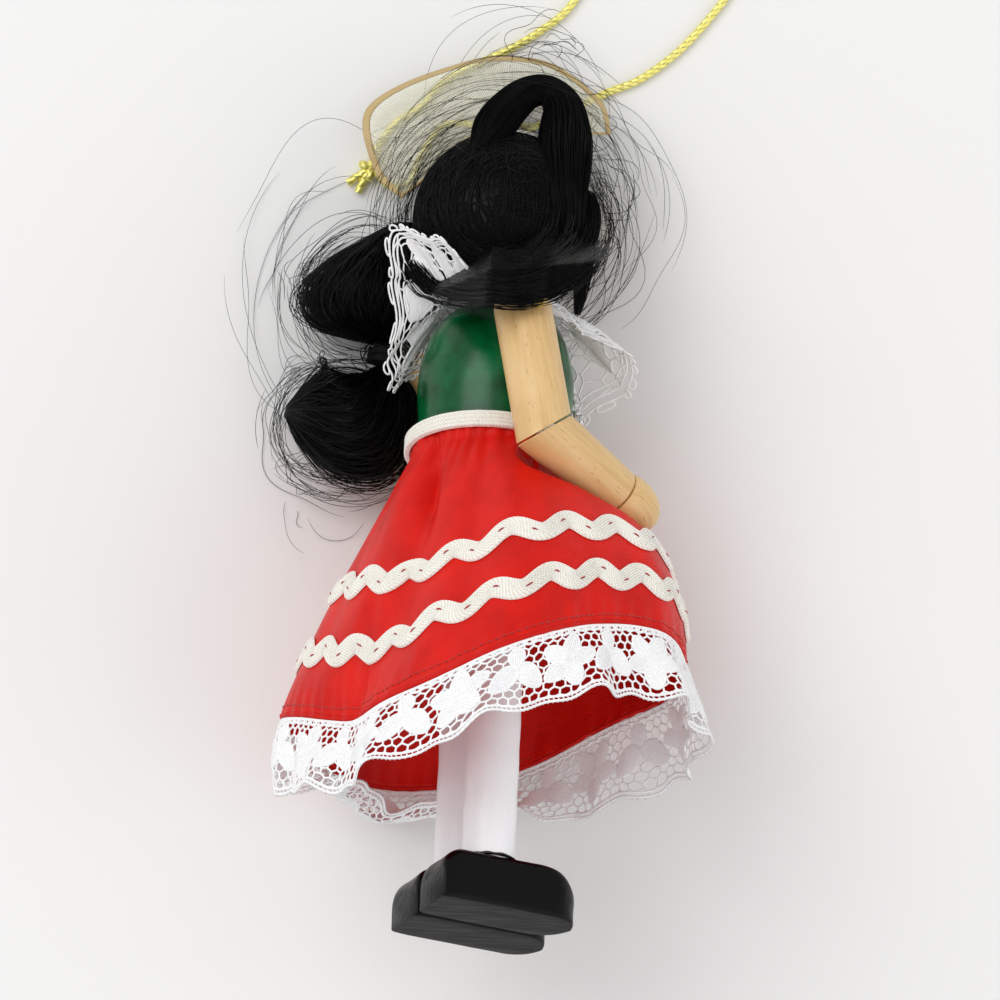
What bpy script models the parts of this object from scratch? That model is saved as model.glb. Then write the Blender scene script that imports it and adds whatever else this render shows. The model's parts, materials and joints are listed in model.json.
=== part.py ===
"""Turned wooden doll ornament, lying on its left side.

The doll is described standing up, in its own frame: +X is its front, +Y its
left, +Z up from the soles. One empty then lays it down on its left side, with
its front in +X, its head in +Y and its right side up. Lengths are in metres.
"""

from math import asin, atan2, cos, exp, pi, radians, sin

import bmesh
import bpy
from mathutils import Matrix, Vector

MM = 0.001

# Fits
GAP = 0.3 * MM              # glue line between pieces that touch
SEAM = 0.25 * MM            # glue line of the mitred arm joints
RUNNING = 0.3 * MM          # clearance of an arm round its pin

# How the doll lies
ROLL = radians(24)          # how far the front is turned down
INCLINE = radians(12)       # how far the feet are higher than the head

# Shoes and legs
SHOE_LENGTH = 22.6 * MM
SHOE_WIDTH = 9.6 * MM
SHOE_HEIGHT = 8.0 * MM
SHOE_HEEL = 8.8 * MM        # heel face to leg axis
SHOE_GAP = 0.4 * MM         # between the two shoes
HEEL_ROUND = 3.2 * MM       # radius of the top edge at the heel
TOE_ROUND = 7.4 * MM        # length over which the top falls to the toe
TOE_LIP = 2.6 * MM          # height of the toe's tip
SHOE_EDGE = 1.4 * MM        # rounding along the top's sides
SOLE_EDGE = 0.5 * MM
SOCKET_DEPTH = 4.5 * MM
LEG_DIAMETER = 7.9 * MM
LEG_SPACING = SHOE_WIDTH + SHOE_GAP

# Torso
HIP_BOTTOM = 58.0 * MM
HIP_SOCKET = 7.0 * MM
HIP_RADIUS = 10.6 * MM
HIP_TO_WAIST = 16.0 * MM
WAIST_HEIGHT = HIP_BOTTOM + HIP_TO_WAIST
WAIST_RADIUS = 11.0 * MM
WAIST_TO_CHEST = 10.5 * MM
CHEST_HEIGHT = WAIST_HEIGHT + WAIST_TO_CHEST
CHEST_RADIUS = 11.7 * MM
CHEST_TO_TOP = 13.5 * MM    # from the widest ring to the flat face round the neck
TORSO_TOP = CHEST_HEIGHT + CHEST_TO_TOP
NECK_DIAMETER = 6.0 * MM
NECK_SEAT = 5.5 * MM        # how deep the neck dowel sits in torso and head

# Head and hair
HEAD_DIAMETER = 25.0 * MM
NECK_SHOWS = 1.5 * MM       # between the torso and the head
HEAD_CENTRE = TORSO_TOP + NECK_SHOWS + HEAD_DIAMETER / 2
HAIR_THICKNESS = 0.7 * MM
HAIR_RADIUS = HEAD_DIAMETER / 2 + GAP + HAIR_THICKNESS
STYLED_RADIUS = 13.5 * MM   # hair radius round which the loose hair and the ribbon were laid out
FACE_HALF_WIDTH = 6.6 * MM
FACE_HALF_HEIGHT = 9.2 * MM
FACE_DROP = 1.0 * MM        # middle of the face opening below the head's centre

# Arms, right one; the left one mirrors it
UPPER_ARM_DIAMETER = 8.7 * MM
SHOULDER_BACK = 2.9 * MM    # shoulder behind the torso's axis
SHOULDER_TUCK = 0.85 * MM   # how far the arm's inside tucks in under the chest
SHOULDER_DROP = 6.0 * MM    # shoulder below the torso's top
SHOULDER_OUT = CHEST_RADIUS + UPPER_ARM_DIAMETER / 2 - SHOULDER_TUCK
SHOULDER = Vector((-SHOULDER_BACK, -SHOULDER_OUT, TORSO_TOP - SHOULDER_DROP))
UPPER_ARM_REACH = Vector((2.5, -4.0, -20.0)) * MM
ELBOW = SHOULDER + UPPER_ARM_REACH
FOREARM_REACH = Vector((18.0, 6.0, -6.8)) * MM
HAND = ELBOW + FOREARM_REACH
WRIST_DIAMETER = 7.3 * MM
HAND_DIAMETER = 8.0 * MM
FOREARM_LENGTH = 16.4 * MM
HAND_LENGTH = 7.8 * MM
PIN_DIAMETER = 1.3 * MM
PIN_DEPTH = 5.0 * MM
PIN_HEAD_DIAMETER = 2.8 * MM
PIN_HEAD_HEIGHT = 0.7 * MM

# Screw eye in the crown
EYE_WIRE = 0.9 * MM
EYE_RADIUS = 2.0 * MM       # ring, to the middle of the wire
EYE_SHANK = 6.0 * MM
EYE_STAND = 3.3 * MM        # ring centre above the head

# Skirt and trims
CLOTH = 0.5 * MM
SKIRT_RISE = 1.6 * MM       # gathered edge above the waist's narrowest ring
SKIRT_TOP = WAIST_HEIGHT + SKIRT_RISE
SKIRT_TOP_RADIUS = WAIST_RADIUS + 0.9 * MM
HEM_RADIUS = 29.6 * MM
SKIRT_LENGTH = 41.0 * MM    # on average; the hem hangs unevenly, by the next four
HEM_HEIGHT = SKIRT_TOP - SKIRT_LENGTH
HEM_TILT = 7.4 * MM         # rise towards the front
HEM_SWAY = 1.4 * MM         # rise towards the left side
HEM_DIP = 2.9 * MM          # two waves round the skirt
HEM_RIPPLE = 1.7 * MM       # three waves round the skirt
BRAID_HEIGHT = 2.5 * MM
BRAID_THICKNESS = 0.8 * MM
BRAID_RIDGES = 4
RICK_RACK_WIDTH = 3.6 * MM
RICK_RACK_THICKNESS = 0.7 * MM
RICK_RACK_SWING = 1.3 * MM
RICK_RACK_WAVE = 8.6 * MM
RICK_RACK_LEAN = 0.6        # how nearly the band's ribs stand square to its wave
UPPER_BAND = 0.555          # where each band runs, from the waist 0 to the hem 1
LOWER_BAND = 0.785
LACE_WIDTH = 12.0 * MM
LACE_THICKNESS = 0.4 * MM
LACE_FLARE = radians(17)
LACE_SCALLOPS = 24

# Collar
COLLAR_THICKNESS = 0.4 * MM
COLLAR_NECK_RADIUS = NECK_DIAMETER / 2 + 1.3 * MM

# Head ribbon
RIBBON_THICKNESS = 0.3 * MM
RIBBON_FLUTES = 7

# Hanging cord
CORD_DIAMETER = 1.2 * MM
KNOT_DIAMETER = 2.6 * MM
KNOT_LENGTH = 3.2 * MM

SIDES = (("right", 1), ("left", -1))


# Frame of the lying doll: x to the doll's front, y to its head, height above what it lies on
LAY_DOWN = Matrix.Rotation(-(pi / 2 + INCLINE), 3, "X") @ Matrix.Rotation(ROLL, 3, "Z")
REST_DEPTH = HEAD_CENTRE * sin(INCLINE) + HAIR_RADIUS


def lying(point):
    """A point of the standing doll, in the lying doll's frame."""
    return LAY_DOWN @ Vector(point) + Vector((0, 0, REST_DEPTH))


def lifted(point, height):
    """The point, moved straight up where it would lie lower than this height."""
    missing = height - lying(point).z
    if missing <= 0:
        return point
    return point + LAY_DOWN.transposed() @ Vector((0, 0, missing))


# Scene, empties and materials
for old in list(bpy.data.objects):
    bpy.data.objects.remove(old)


def empty(name, parent=None, location=(0, 0, 0)):
    holder = bpy.data.objects.new(name, None)
    holder.empty_display_size = 5 * MM
    holder.location = location
    holder.parent = parent
    bpy.context.collection.objects.link(holder)
    return holder


table = empty("table")
doll = empty("doll", table, (0, 0, REST_DEPTH))
doll.rotation_euler = LAY_DOWN.to_euler()


def finish(name, colour, roughness, metallic=0.0):
    made = bpy.data.materials.new(name)
    made.use_nodes = True
    shader = made.node_tree.nodes["Principled BSDF"]
    shader.inputs["Base Color"].default_value = (*colour, 1)
    shader.inputs["Roughness"].default_value = roughness
    shader.inputs["Metallic"].default_value = metallic
    return made


GREEN_PAINT = finish("green_paint", (0.0, 0.09, 0.02), 0.2)
WHITE_PAINT = finish("white_paint", (0.85, 0.85, 0.87), 0.3)
BLACK_PAINT = finish("black_paint", (0.01, 0.01, 0.01), 0.25)
BARE_WOOD = finish("bare_wood", (0.80, 0.56, 0.28), 0.5)
HAIR = finish("black_hair", (0.01, 0.01, 0.01), 0.4)
SATIN = finish("red_satin", (0.62, 0.01, 0.0), 0.4)
TRIM = finish("cream_braid", (0.80, 0.77, 0.68), 0.8)
LACE = finish("white_lace", (0.88, 0.88, 0.88), 0.8)
RIBBON = finish("sheer_ribbon", (0.85, 0.82, 0.60), 0.6)
BRASS = finish("brass", (0.75, 0.55, 0.18), 0.3, 1.0)
GOLD_CORD = finish("gold_cord", (0.85, 0.68, 0.12), 0.35, 0.6)
SEWING_THREAD = finish("black_thread", (0.02, 0.02, 0.02), 0.6)


# Shared builders
def place(name, mesh, material, parent=None):
    mesh.materials.clear()
    mesh.materials.append(material)
    piece = bpy.data.objects.new(name, mesh)
    piece.parent = parent or doll
    bpy.context.collection.objects.link(piece)
    return piece


def mesh_of(name, points, faces):
    mesh = bpy.data.meshes.new(name)
    mesh.from_pydata([tuple(point) for point in points], [], faces)
    mesh.validate()
    return mesh


def smooth(mesh, angle=35):
    mesh.shade_smooth()
    mesh.set_sharp_from_angle(angle=radians(angle))
    return mesh


def turned(name, outline, segments=32):
    """A lathe piece: the outline of (radius, height) runs from the bottom axis to the top axis."""
    rings = outline[1:-1]
    points = []
    for radius, height in rings:
        for step in range(segments):
            turn = 2 * pi * step / segments
            points.append((radius * cos(turn), radius * sin(turn), height))
    faces = []
    for ring in range(len(rings) - 1):
        low = ring * segments
        high = low + segments
        for step in range(segments):
            after = (step + 1) % segments
            faces.append((low + step, low + after, high + after, high + step))
    last = (len(rings) - 1) * segments
    for rim, tip, flat in (
        (list(range(segments))[::-1], outline[0][1], outline[0][1] == rings[0][1]),
        (list(range(last, last + segments)), outline[-1][1], outline[-1][1] == rings[-1][1]),
    ):
        if flat:
            faces.append(rim)
            continue
        points.append((0, 0, tip))
        for step in range(segments):
            faces.append((rim[step], rim[(step + 1) % segments], len(points) - 1))
    return smooth(mesh_of(name, points, faces))


def turned_ring(name, outline, segments):
    """A lathe piece that the axis doesn't touch: the outline runs once round its section."""
    points = []
    faces = []
    count = len(outline)
    for step in range(segments):
        turn = 2 * pi * step / segments
        points += [(radius * cos(turn), radius * sin(turn), height) for radius, height in outline]
        here = step * count
        there = (step + 1) % segments * count
        for corner in range(count):
            after = (corner + 1) % count
            faces.append((here + corner, there + corner, there + after, here + after))
    return smooth(mesh_of(name, points, faces))


def through(stations, steps):
    """Points of a smooth curve through the stations, which may have any number of values."""
    curve = []
    for index in range(len(stations) - 1):
        before = Vector(stations[max(index - 1, 0)])
        start = Vector(stations[index])
        end = Vector(stations[index + 1])
        beyond = Vector(stations[min(index + 2, len(stations) - 1)])
        for step in range(steps):
            t = step / steps
            lean_out = (end - before) / 2
            lean_in = (beyond - start) / 2
            curve.append(
                start * (2 * t**3 - 3 * t**2 + 1)
                + lean_out * (t**3 - 2 * t**2 + t)
                + end * (3 * t**2 - 2 * t**3)
                + lean_in * (t**3 - t**2)
            )
    curve.append(Vector(stations[-1]))
    return curve


def tube(name, route, radii, material, parent=None, resolution=2):
    """A round strand along the route, with its own radius at each point."""
    line = bpy.data.curves.new(name, "CURVE")
    line.dimensions = "3D"
    line.bevel_depth = 1.0
    line.bevel_resolution = resolution
    line.use_fill_caps = True
    strand = line.splines.new("POLY")
    strand.points.add(len(route) - 1)
    for point, place_at, radius in zip(strand.points, route, radii):
        point.co = (*place_at, 1)
        point.radius = radius
    line.materials.append(material)
    piece = bpy.data.objects.new(name, line)
    piece.parent = parent or doll
    bpy.context.collection.objects.link(piece)
    return piece


def cut(piece, cutter, operation="DIFFERENCE"):
    cutter.hide_render = True
    cutter.display_type = "WIRE"
    change = piece.modifiers.new(operation.lower(), "BOOLEAN")
    change.operation = operation
    change.solver = "EXACT"
    change.object = cutter


def rod(radius, low, high, segments=24):
    """The outline of a plain rod along +Z."""
    return turned("rod", [(0, low), (radius, low), (radius, high), (0, high)], segments)


def cutter(name, mesh, parent=None, location=(0, 0, 0), direction=None):
    """A tool for a Boolean: its +Z points in the direction."""
    piece = place(name, mesh, BRASS, parent)
    piece.location = location
    if direction is not None:
        piece.rotation_euler = Vector(direction).to_track_quat("Z", "Y").to_euler()
    return piece


def sheet(name, surface, columns, rows, thickness, material, ring=False, parent=None):
    """Cloth or lace: a grid over surface(u, v), u and v from 0 to 1, given its thickness both ways."""
    across = columns if ring else columns + 1
    points = []
    for row in range(rows + 1):
        for column in range(across):
            points.append(surface(column / columns, row / rows))
    faces = []
    for row in range(rows):
        for column in range(columns):
            after = (column + 1) % across
            low = row * across
            high = low + across
            faces.append((low + column, high + column, high + after, low + after))
    piece = place(name, smooth(mesh_of(name, points, faces), 60), material, parent)
    body = piece.modifiers.new("thickness", "SOLIDIFY")
    body.thickness = thickness
    body.offset = 0
    return piece


# Torso: turned barrel on a hip block, with sockets for the legs and the neck dowel
torso_outline = [(0, HIP_BOTTOM)]
for station in through(
    [
        (HIP_RADIUS - 1.0 * MM, HIP_BOTTOM),
        (HIP_RADIUS, HIP_BOTTOM + 2.0 * MM),
        (WAIST_RADIUS, WAIST_HEIGHT),
        (CHEST_RADIUS, CHEST_HEIGHT),
        (CHEST_RADIUS * 0.945, CHEST_HEIGHT + CHEST_TO_TOP * 0.355),
        (CHEST_RADIUS * 0.83, CHEST_HEIGHT + CHEST_TO_TOP * 0.65),
        (CHEST_RADIUS * 0.58, CHEST_HEIGHT + CHEST_TO_TOP * 0.9),
        (CHEST_RADIUS * 0.36, TORSO_TOP),
    ],
    2,
):
    torso_outline.append(tuple(station))
neck_bottom = TORSO_TOP - NECK_SEAT
neck_hole_radius = NECK_DIAMETER / 2 + GAP
torso_outline.append((neck_hole_radius, TORSO_TOP))
torso_outline.append((neck_hole_radius, neck_bottom - GAP))
torso_outline.append((0, neck_bottom - GAP))
torso = place("torso", turned("torso", torso_outline, 32), GREEN_PAINT)

hip_socket = rod(LEG_DIAMETER / 2 + GAP, HIP_BOTTOM - GAP, HIP_BOTTOM + HIP_SOCKET)
for side, sign in SIDES:
    socket = cutter(side + "_hip_socket", hip_socket, location=(0, -sign * LEG_SPACING / 2, 0))
    cut(torso, socket)

# Head: turned ball, bored below for the neck dowel and above for the screw eye
head_radius = HEAD_DIAMETER / 2
head_bottom = HEAD_CENTRE - head_radius
neck_top = head_bottom + NECK_SEAT
shank_hole_radius = EYE_WIRE / 2 + GAP
shank_tip = HEAD_CENTRE + head_radius - EYE_SHANK


def ball_outline(radius, low_opening, high_opening, rings=12):
    """Outline of a ball round the origin, open at both poles to these radii."""
    start = asin(low_opening / radius)
    end = pi - asin(high_opening / radius)
    curve = []
    for ring in range(rings + 1):
        turn = start + (end - start) * ring / rings
        curve.append((radius * sin(turn), -radius * cos(turn)))
    return curve


head_outline = [(0, neck_top + GAP - HEAD_CENTRE), (neck_hole_radius, neck_top + GAP - HEAD_CENTRE)]
head_outline += ball_outline(head_radius, neck_hole_radius, shank_hole_radius)
head_outline += [(shank_hole_radius, shank_tip - GAP - HEAD_CENTRE), (0, shank_tip - GAP - HEAD_CENTRE)]
head = place("head", turned("head", head_outline, 24), BARE_WOOD)
head.location.z = HEAD_CENTRE
place("neck_dowel", rod(NECK_DIAMETER / 2, neck_bottom, neck_top, 20), BARE_WOOD)

# Legs and shoes: painted dowels glued into painted blocks
leg_bottom = SHOE_HEIGHT - SOCKET_DEPTH + GAP
leg_top = HIP_BOTTOM + HIP_SOCKET - GAP
leg_mesh = rod(LEG_DIAMETER / 2, leg_bottom, leg_top, 28)


def shoe_section(x, half, height):
    """One cross-section of a shoe: flat sole, upright sides and a top with rounded edges."""
    sole = min(SOLE_EDGE, half / 2)
    edge = min(SHOE_EDGE, half * 0.8, height / 2)
    right_half = [(half - sole, 0), (half, sole), (half, height - edge)]
    for step in (1, 2):
        turn = pi / 2 * step / 3
        right_half.append((half - edge + edge * cos(turn), height - edge + edge * sin(turn)))
    right_half.append((half - edge, height))
    points = right_half + [(-y, z) for y, z in reversed(right_half)]
    return [(x, y, z) for y, z in points]


def shoe_mesh():
    """Square heel with a rounded top edge, straight sides, and a round toe whose top slopes down."""
    half = SHOE_WIDTH / 2
    toe_tip = SHOE_LENGTH - SHOE_HEEL
    sections = []
    for step in range(4):
        turn = pi / 2 * step / 3
        x = -SHOE_HEEL + HEEL_ROUND * (1 - cos(turn))
        sections.append(shoe_section(x, half, SHOE_HEIGHT - HEEL_ROUND * (1 - sin(turn))))
    for step in range(8):
        x = toe_tip - TOE_ROUND * (1 - sin(radians(84) * step / 7))
        round_part = max((x - toe_tip + half) / half, 0)
        drop = 1 - (1 - (1 - (toe_tip - x) / TOE_ROUND) ** 2) ** 0.5
        height = SHOE_HEIGHT - (SHOE_HEIGHT - TOE_LIP) * drop
        sections.append(shoe_section(x, half * max(1 - round_part**2, 0) ** 0.5, height))
    count = len(sections[0])
    points = [point for section in sections for point in section]
    faces = [tuple(range(count)), tuple(len(points) - 1 - corner for corner in range(count))]
    for index in range(len(sections) - 1):
        for corner in range(count):
            here = index * count + corner
            beside = index * count + (corner + 1) % count
            faces.append((here, here + count, beside + count, beside))
    built = bmesh.new()
    built.from_mesh(mesh_of("shoe", points, faces))
    bmesh.ops.recalc_face_normals(built, faces=built.faces)
    mesh = bpy.data.meshes.new("shoe")
    built.to_mesh(mesh)
    built.free()
    return smooth(mesh)


shoe_body = shoe_mesh()
shoe_socket = rod(LEG_DIAMETER / 2 + GAP, SHOE_HEIGHT - SOCKET_DEPTH, SHOE_HEIGHT + 1 * MM, 28)
for side, sign in SIDES:
    across = -sign * LEG_SPACING / 2
    leg = place(side + "_leg", leg_mesh, WHITE_PAINT)
    leg.location.y = across
    shoe = place(side + "_shoe", shoe_body.copy(), BLACK_PAINT)
    shoe.location.y = across
    socket = cutter(side + "_shoe_socket", shoe_socket, location=(0, across, 0))
    cut(shoe, socket)


# Arms: dowels mitred at the elbow, a rounded hand, and a pin through the shoulder
def mirrored(point, sign):
    return Vector((point.x, point.y * sign, point.z))


def limb(name, outline, start, end, planes, material, holder):
    """A turned piece whose own +Z runs from start to end, cut off square or mitred by planes."""
    mesh = turned(name, outline, 20)
    direction = (end - start).normalized()
    built = bmesh.new()
    built.from_mesh(mesh)
    built.transform(Matrix.Translation(start) @ direction.to_track_quat("Z", "Y").to_matrix().to_4x4())
    for point, normal in planes:
        everything = built.verts[:] + built.edges[:] + built.faces[:]
        made = bmesh.ops.bisect_plane(
            built, geom=everything, plane_co=point, plane_no=normal, clear_outer=True, dist=1e-7
        )
        rim = [part for part in made["geom_cut"] if isinstance(part, bmesh.types.BMEdge)]
        bmesh.ops.holes_fill(built, edges=rim, sides=0)
        bmesh.ops.recalc_face_normals(built, faces=built.faces)
    built.to_mesh(mesh)
    built.free()
    piece = place(name, smooth(mesh), material, holder)
    piece.location = -holder.location
    return piece


def dome(radius, length, steps, start=0.0):
    """Outline of a rod's rounded end, from its rim at start to its tip."""
    curve = []
    for step in range(1, steps):
        turn = pi / 2 * step / steps
        curve.append((radius * cos(turn), start + length * sin(turn)))
    return curve


for side, sign in SIDES:
    shoulder = mirrored(SHOULDER, sign)
    elbow = mirrored(ELBOW, sign)
    hand = mirrored(HAND, sign)
    outward = Vector((0, -sign, 0))
    holder = empty(side + "_shoulder_axis", doll, shoulder)
    down = (elbow - shoulder).normalized()
    forward = (hand - elbow).normalized()
    mitre = (down + forward).normalized()
    wrist = elbow + forward * FOREARM_LENGTH
    arm_radius = UPPER_ARM_DIAMETER / 2

    reach = (elbow - shoulder).length + UPPER_ARM_DIAMETER
    outline = [(0, -arm_radius)]
    outline += [(radius, -rise) for radius, rise in reversed(dome(arm_radius, arm_radius, 6))]
    outline += [(arm_radius, 0), (arm_radius, reach), (0, reach)]
    upper = limb(
        side + "_upper_arm",
        outline,
        shoulder,
        elbow,
        [(elbow - mitre * SEAM / 2, mitre)],
        BARE_WOOD,
        holder,
    )

    back = -UPPER_ARM_DIAMETER
    outline = [(0, back), (arm_radius, back), (arm_radius, 0)]
    outline += [(WRIST_DIAMETER / 2, FOREARM_LENGTH + 2 * MM), (0, FOREARM_LENGTH + 2 * MM)]
    limb(
        side + "_forearm",
        outline,
        elbow,
        hand,
        [(elbow + mitre * SEAM / 2, -mitre), (wrist - forward * SEAM / 2, forward)],
        BARE_WOOD,
        holder,
    )

    hand_radius = HAND_DIAMETER / 2
    base = FOREARM_LENGTH + SEAM / 2
    swell = base + 2.2 * MM
    outline = [(0, base), (hand_radius * 0.93, base), (hand_radius * 0.99, base + 0.9 * MM)]
    outline += [(hand_radius, swell)] + dome(hand_radius, HAND_LENGTH - 2.2 * MM, 6, swell)
    outline += [(0, base + HAND_LENGTH)]
    limb(side + "_hand", outline, elbow, hand, [], BARE_WOOD, holder)

    pin_radius = PIN_DIAMETER / 2
    cap_radius = PIN_HEAD_DIAMETER / 2
    lean = abs(down.y / down.z)
    arm_outside = abs(shoulder.y) + arm_radius * (1 + lean**2) ** 0.5 + cap_radius * lean
    pin_start = arm_outside - PIN_DEPTH - UPPER_ARM_DIAMETER
    head_start = arm_outside + RUNNING
    outline = [(0, pin_start), (pin_radius, pin_start), (pin_radius, head_start), (cap_radius, head_start)]
    outline += dome(cap_radius, PIN_HEAD_HEIGHT, 4, head_start) + [(0, head_start + PIN_HEAD_HEIGHT)]
    pin = place(side + "_shoulder_pin", turned(side + "_pin", outline, 16), BRASS)
    pin.location = (shoulder.x, 0, shoulder.z)
    pin.rotation_euler = outward.to_track_quat("Z", "Y").to_euler()

    bore = cutter(
        side + "_arm_bore",
        rod(pin_radius + RUNNING, 0, arm_outside * 2, 16),
        location=(shoulder.x, 0, shoulder.z),
        direction=outward,
    )
    cut(upper, bore)
    pin_hole = cutter(
        side + "_pin_hole",
        rod(pin_radius + GAP, pin_start - GAP, arm_outside, 16),
        location=(shoulder.x, 0, shoulder.z),
        direction=outward,
    )
    cut(torso, pin_hole)

# Screw eye: brass wire ring on a shank, screwed into the crown
head_top = HEAD_CENTRE + HEAD_DIAMETER / 2
eye_centre = head_top + EYE_STAND
bpy.ops.mesh.primitive_torus_add(
    major_radius=EYE_RADIUS,
    minor_radius=EYE_WIRE / 2,
    major_segments=20,
    minor_segments=8,
)
ring_mesh = bpy.context.object.data
bpy.data.objects.remove(bpy.context.object)
screw_eye = place("screw_eye", smooth(ring_mesh), BRASS)
screw_eye.location.z = eye_centre
screw_eye.rotation_euler = (Matrix.Rotation(-ROLL, 3, "Z") @ Matrix.Rotation(pi / 2, 3, "Y")).to_euler()
shank_top = eye_centre - EYE_RADIUS
shank = cutter("eye_shank", rod(EYE_WIRE / 2, shank_tip, shank_top, 10))
cut(screw_eye, shank, "UNION")

# Hair cap: hair glued all over the ball, open below for the neck and in front for the face
neck_way = NECK_DIAMETER / 2 + 2 * GAP
crown_way = EYE_WIRE / 2 + 2 * GAP
cap_outline = ball_outline(HAIR_RADIUS, neck_way, crown_way)
cap_outline += reversed(ball_outline(head_radius + GAP, neck_way, crown_way))
hair_cap = place("hair_cap", turned_ring("hair_cap", cap_outline, 24), HAIR)
hair_cap.location.z = HEAD_CENTRE
face_opening = rod(FACE_HALF_WIDTH, 0, HEAD_DIAMETER, 24)
for corner in face_opening.vertices:
    corner.co.x *= FACE_HALF_HEIGHT / FACE_HALF_WIDTH
face_cutter = cutter("face_opening", face_opening, location=(0, 0, HEAD_CENTRE - FACE_DROP))
face_cutter.rotation_euler = (0, pi / 2, 0)
cut(hair_cap, face_cutter)


# Loose hair that stands off the cap: the crown loop, the face locks and the back tail
FROM_LYING = LAY_DOWN.transposed()


def outside_head(offset):
    """A point set off from the head's centre, which keeps its distance to the hair's surface."""
    return Vector((0, 0, HEAD_CENTRE)) + offset + offset.normalized() * (HAIR_RADIUS - STYLED_RADIUS)


def off_cap(point, radius):
    """The point, pushed away from the head until a strand of this radius clears the cap."""
    centre = Vector((0, 0, HEAD_CENTRE))
    away = Vector(point) - centre
    least = HAIR_RADIUS + GAP + radius
    if away.length >= least:
        return Vector(point)
    return centre + away.normalized() * least


def hair_lock(name, stations, resolution, frame=Matrix.Identity(3)):
    """A lock of hair through stations of (x, y, z, radius), in millimetres from the head's centre."""
    curve = through([Vector(station) * MM for station in stations], 3)
    route = [off_cap(outside_head(frame @ point.xyz), point.w) for point in curve]
    return tube(name, route, [point.w for point in curve], HAIR, resolution=resolution)


hair_lock(
    "crown_loop",
    [
        (-4.4, 9.4, 7.0, 0.8),
        (-2.6, 13.7, 5.4, 2.0),
        (-0.1, 17.4, 3.3, 2.4),
        (2.7, 19.8, 1.5, 2.0),
        (5.6, 20.3, 1.0, 1.8),
        (7.6, 17.8, 1.3, 2.4),
        (7.9, 13.0, 2.7, 3.2),
        (8.1, 8.6, 6.1, 3.2),
        (8.4, 4.8, 10.1, 1.0),
    ],
    3,
    FROM_LYING,
)
hair_lock(
    "right_face_lock",
    [
        (8.6, -11.6, 2.6, 0.7),
        (8.9, -11.2, -1.0, 1.1),
        (9.0, -10.4, -6.0, 1.2),
        (9.4, -8.6, -11.5, 1.0),
        (9.6, -7.2, -15.5, 0.5),
    ],
    2,
)
hair_lock(
    "left_face_lock",
    [
        (12.4, 7.4, 3.0, 0.6),
        (12.2, 8.2, -0.5, 1.0),
        (11.2, 8.9, -5.5, 1.1),
        (10.2, 8.0, -10.5, 0.9),
        (9.8, 7.0, -14.5, 0.5),
    ],
    2,
)


def hair_puff(name, stations):
    """A puff of the tail, lofted through rings that stand upright on the lying doll.

    Each station is x, y, height and radius, in millimetres from the head's centre, and how
    many degrees the ring is turned from the head's side to the doll's back.
    """
    around = 16
    points = []
    curve = through(stations, 3)
    for station in curve:
        centre = lying(outside_head(FROM_LYING @ Vector(station[:3]) * MM))
        radius = station[3] * MM
        centre.z = max(centre.z, radius)
        lean = radians(station[4])
        across = Vector((cos(lean), -sin(lean), 0))
        for step in range(around):
            turn = 2 * pi * step / around
            points.append(centre + (across * cos(turn) + Vector((0, 0, 1)) * sin(turn)) * radius)
    faces = [tuple(reversed(range(around))), tuple(len(points) - around + step for step in range(around))]
    for ring in range(len(curve) - 1):
        for step in range(around):
            here = ring * around + step
            beside = ring * around + (step + 1) % around
            faces.append((here, beside, beside + around, here + around))
    return place(name, smooth(mesh_of(name, points, faces), 60), HAIR, table)


hair_puff(
    "tail_upper",
    [
        (-15.5, -0.5, -2.3, 1.8, 0),
        (-17.7, -3.7, -3.4, 4.4, 0),
        (-20.4, -8.9, -4.9, 7.6, 0),
        (-19.8, -12.7, -5.2, 6.8, 0),
        (-17.4, -16.2, -5.3, 3.9, 0),
        (-16.8, -17.5, -5.3, 2.6, 0),
        (-16.8, -18.5, -5.3, 1.9, 0),
    ],
)
hair_puff(
    "tail_lower",
    [
        (-16.8, -22.1, -5.3, 1.9, 0),
        (-16.8, -23.1, -5.3, 2.6, 4),
        (-17.6, -24.7, -5.2, 4.2, 16),
        (-19.8, -27.5, -5.2, 6.6, 38),
        (-22.6, -29.7, -5.8, 7.2, 52),
        (-26.6, -31.7, -6.9, 5.8, 60),
        (-30.2, -32.9, -8.5, 3.2, 66),
        (-32.6, -33.3, -10.1, 0.9, 70),
    ],
)
TAIL_TIE = (-16.8, -20.3, -5.3)
tie_middle = lying(outside_head(FROM_LYING @ Vector(TAIL_TIE) * MM))
tube(
    "tail_tie",
    [tie_middle + Vector((0, shift * MM, 0)) for shift in (1.3, 0.7, 0, -0.7, -1.3)],
    [2.0 * MM, 2.7 * MM, 2.9 * MM, 2.7 * MM, 2.0 * MM],
    SEWING_THREAD,
    table,
    3,
)

# Skirt: a flared satin cone gathered at the waist, with soft folds and hollows for the hands
FOLD_TURN = radians(24)     # the hem's rise and the folds are counted from this far right of the front


def bump(angle, middle, width):
    """A soft rise of 1 round one angle."""
    away = atan2(sin(angle - middle), cos(angle - middle))
    return exp(-((away / width) ** 2))


BACK_VALLEY = radians(-162)
BACK_VALLEY_DRIFT = radians(17)
BACK_VALLEY_DEPTH = 4.8 * MM
SIDE_FOLD = radians(-118)
SIDE_FOLD_DEPTH = 1.6 * MM
BAND_SWAY = 0.55 * MM       # how unevenly the waistband was glued on
CLOTH_EASE = 1.1 * MM       # how far the cloth keeps off an arm
CLOTH_FLARE = 3.0           # how steeply it comes out again beside one
ARM_STEPS = 16              # places along each part of an arm where that is measured
FLARE_START = (BRAID_HEIGHT + BAND_SWAY) / (SKIRT_TOP - HEM_HEIGHT)


def waist_sway(angle):
    return BAND_SWAY * cos(angle + FOLD_TURN + 2.1)


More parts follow.
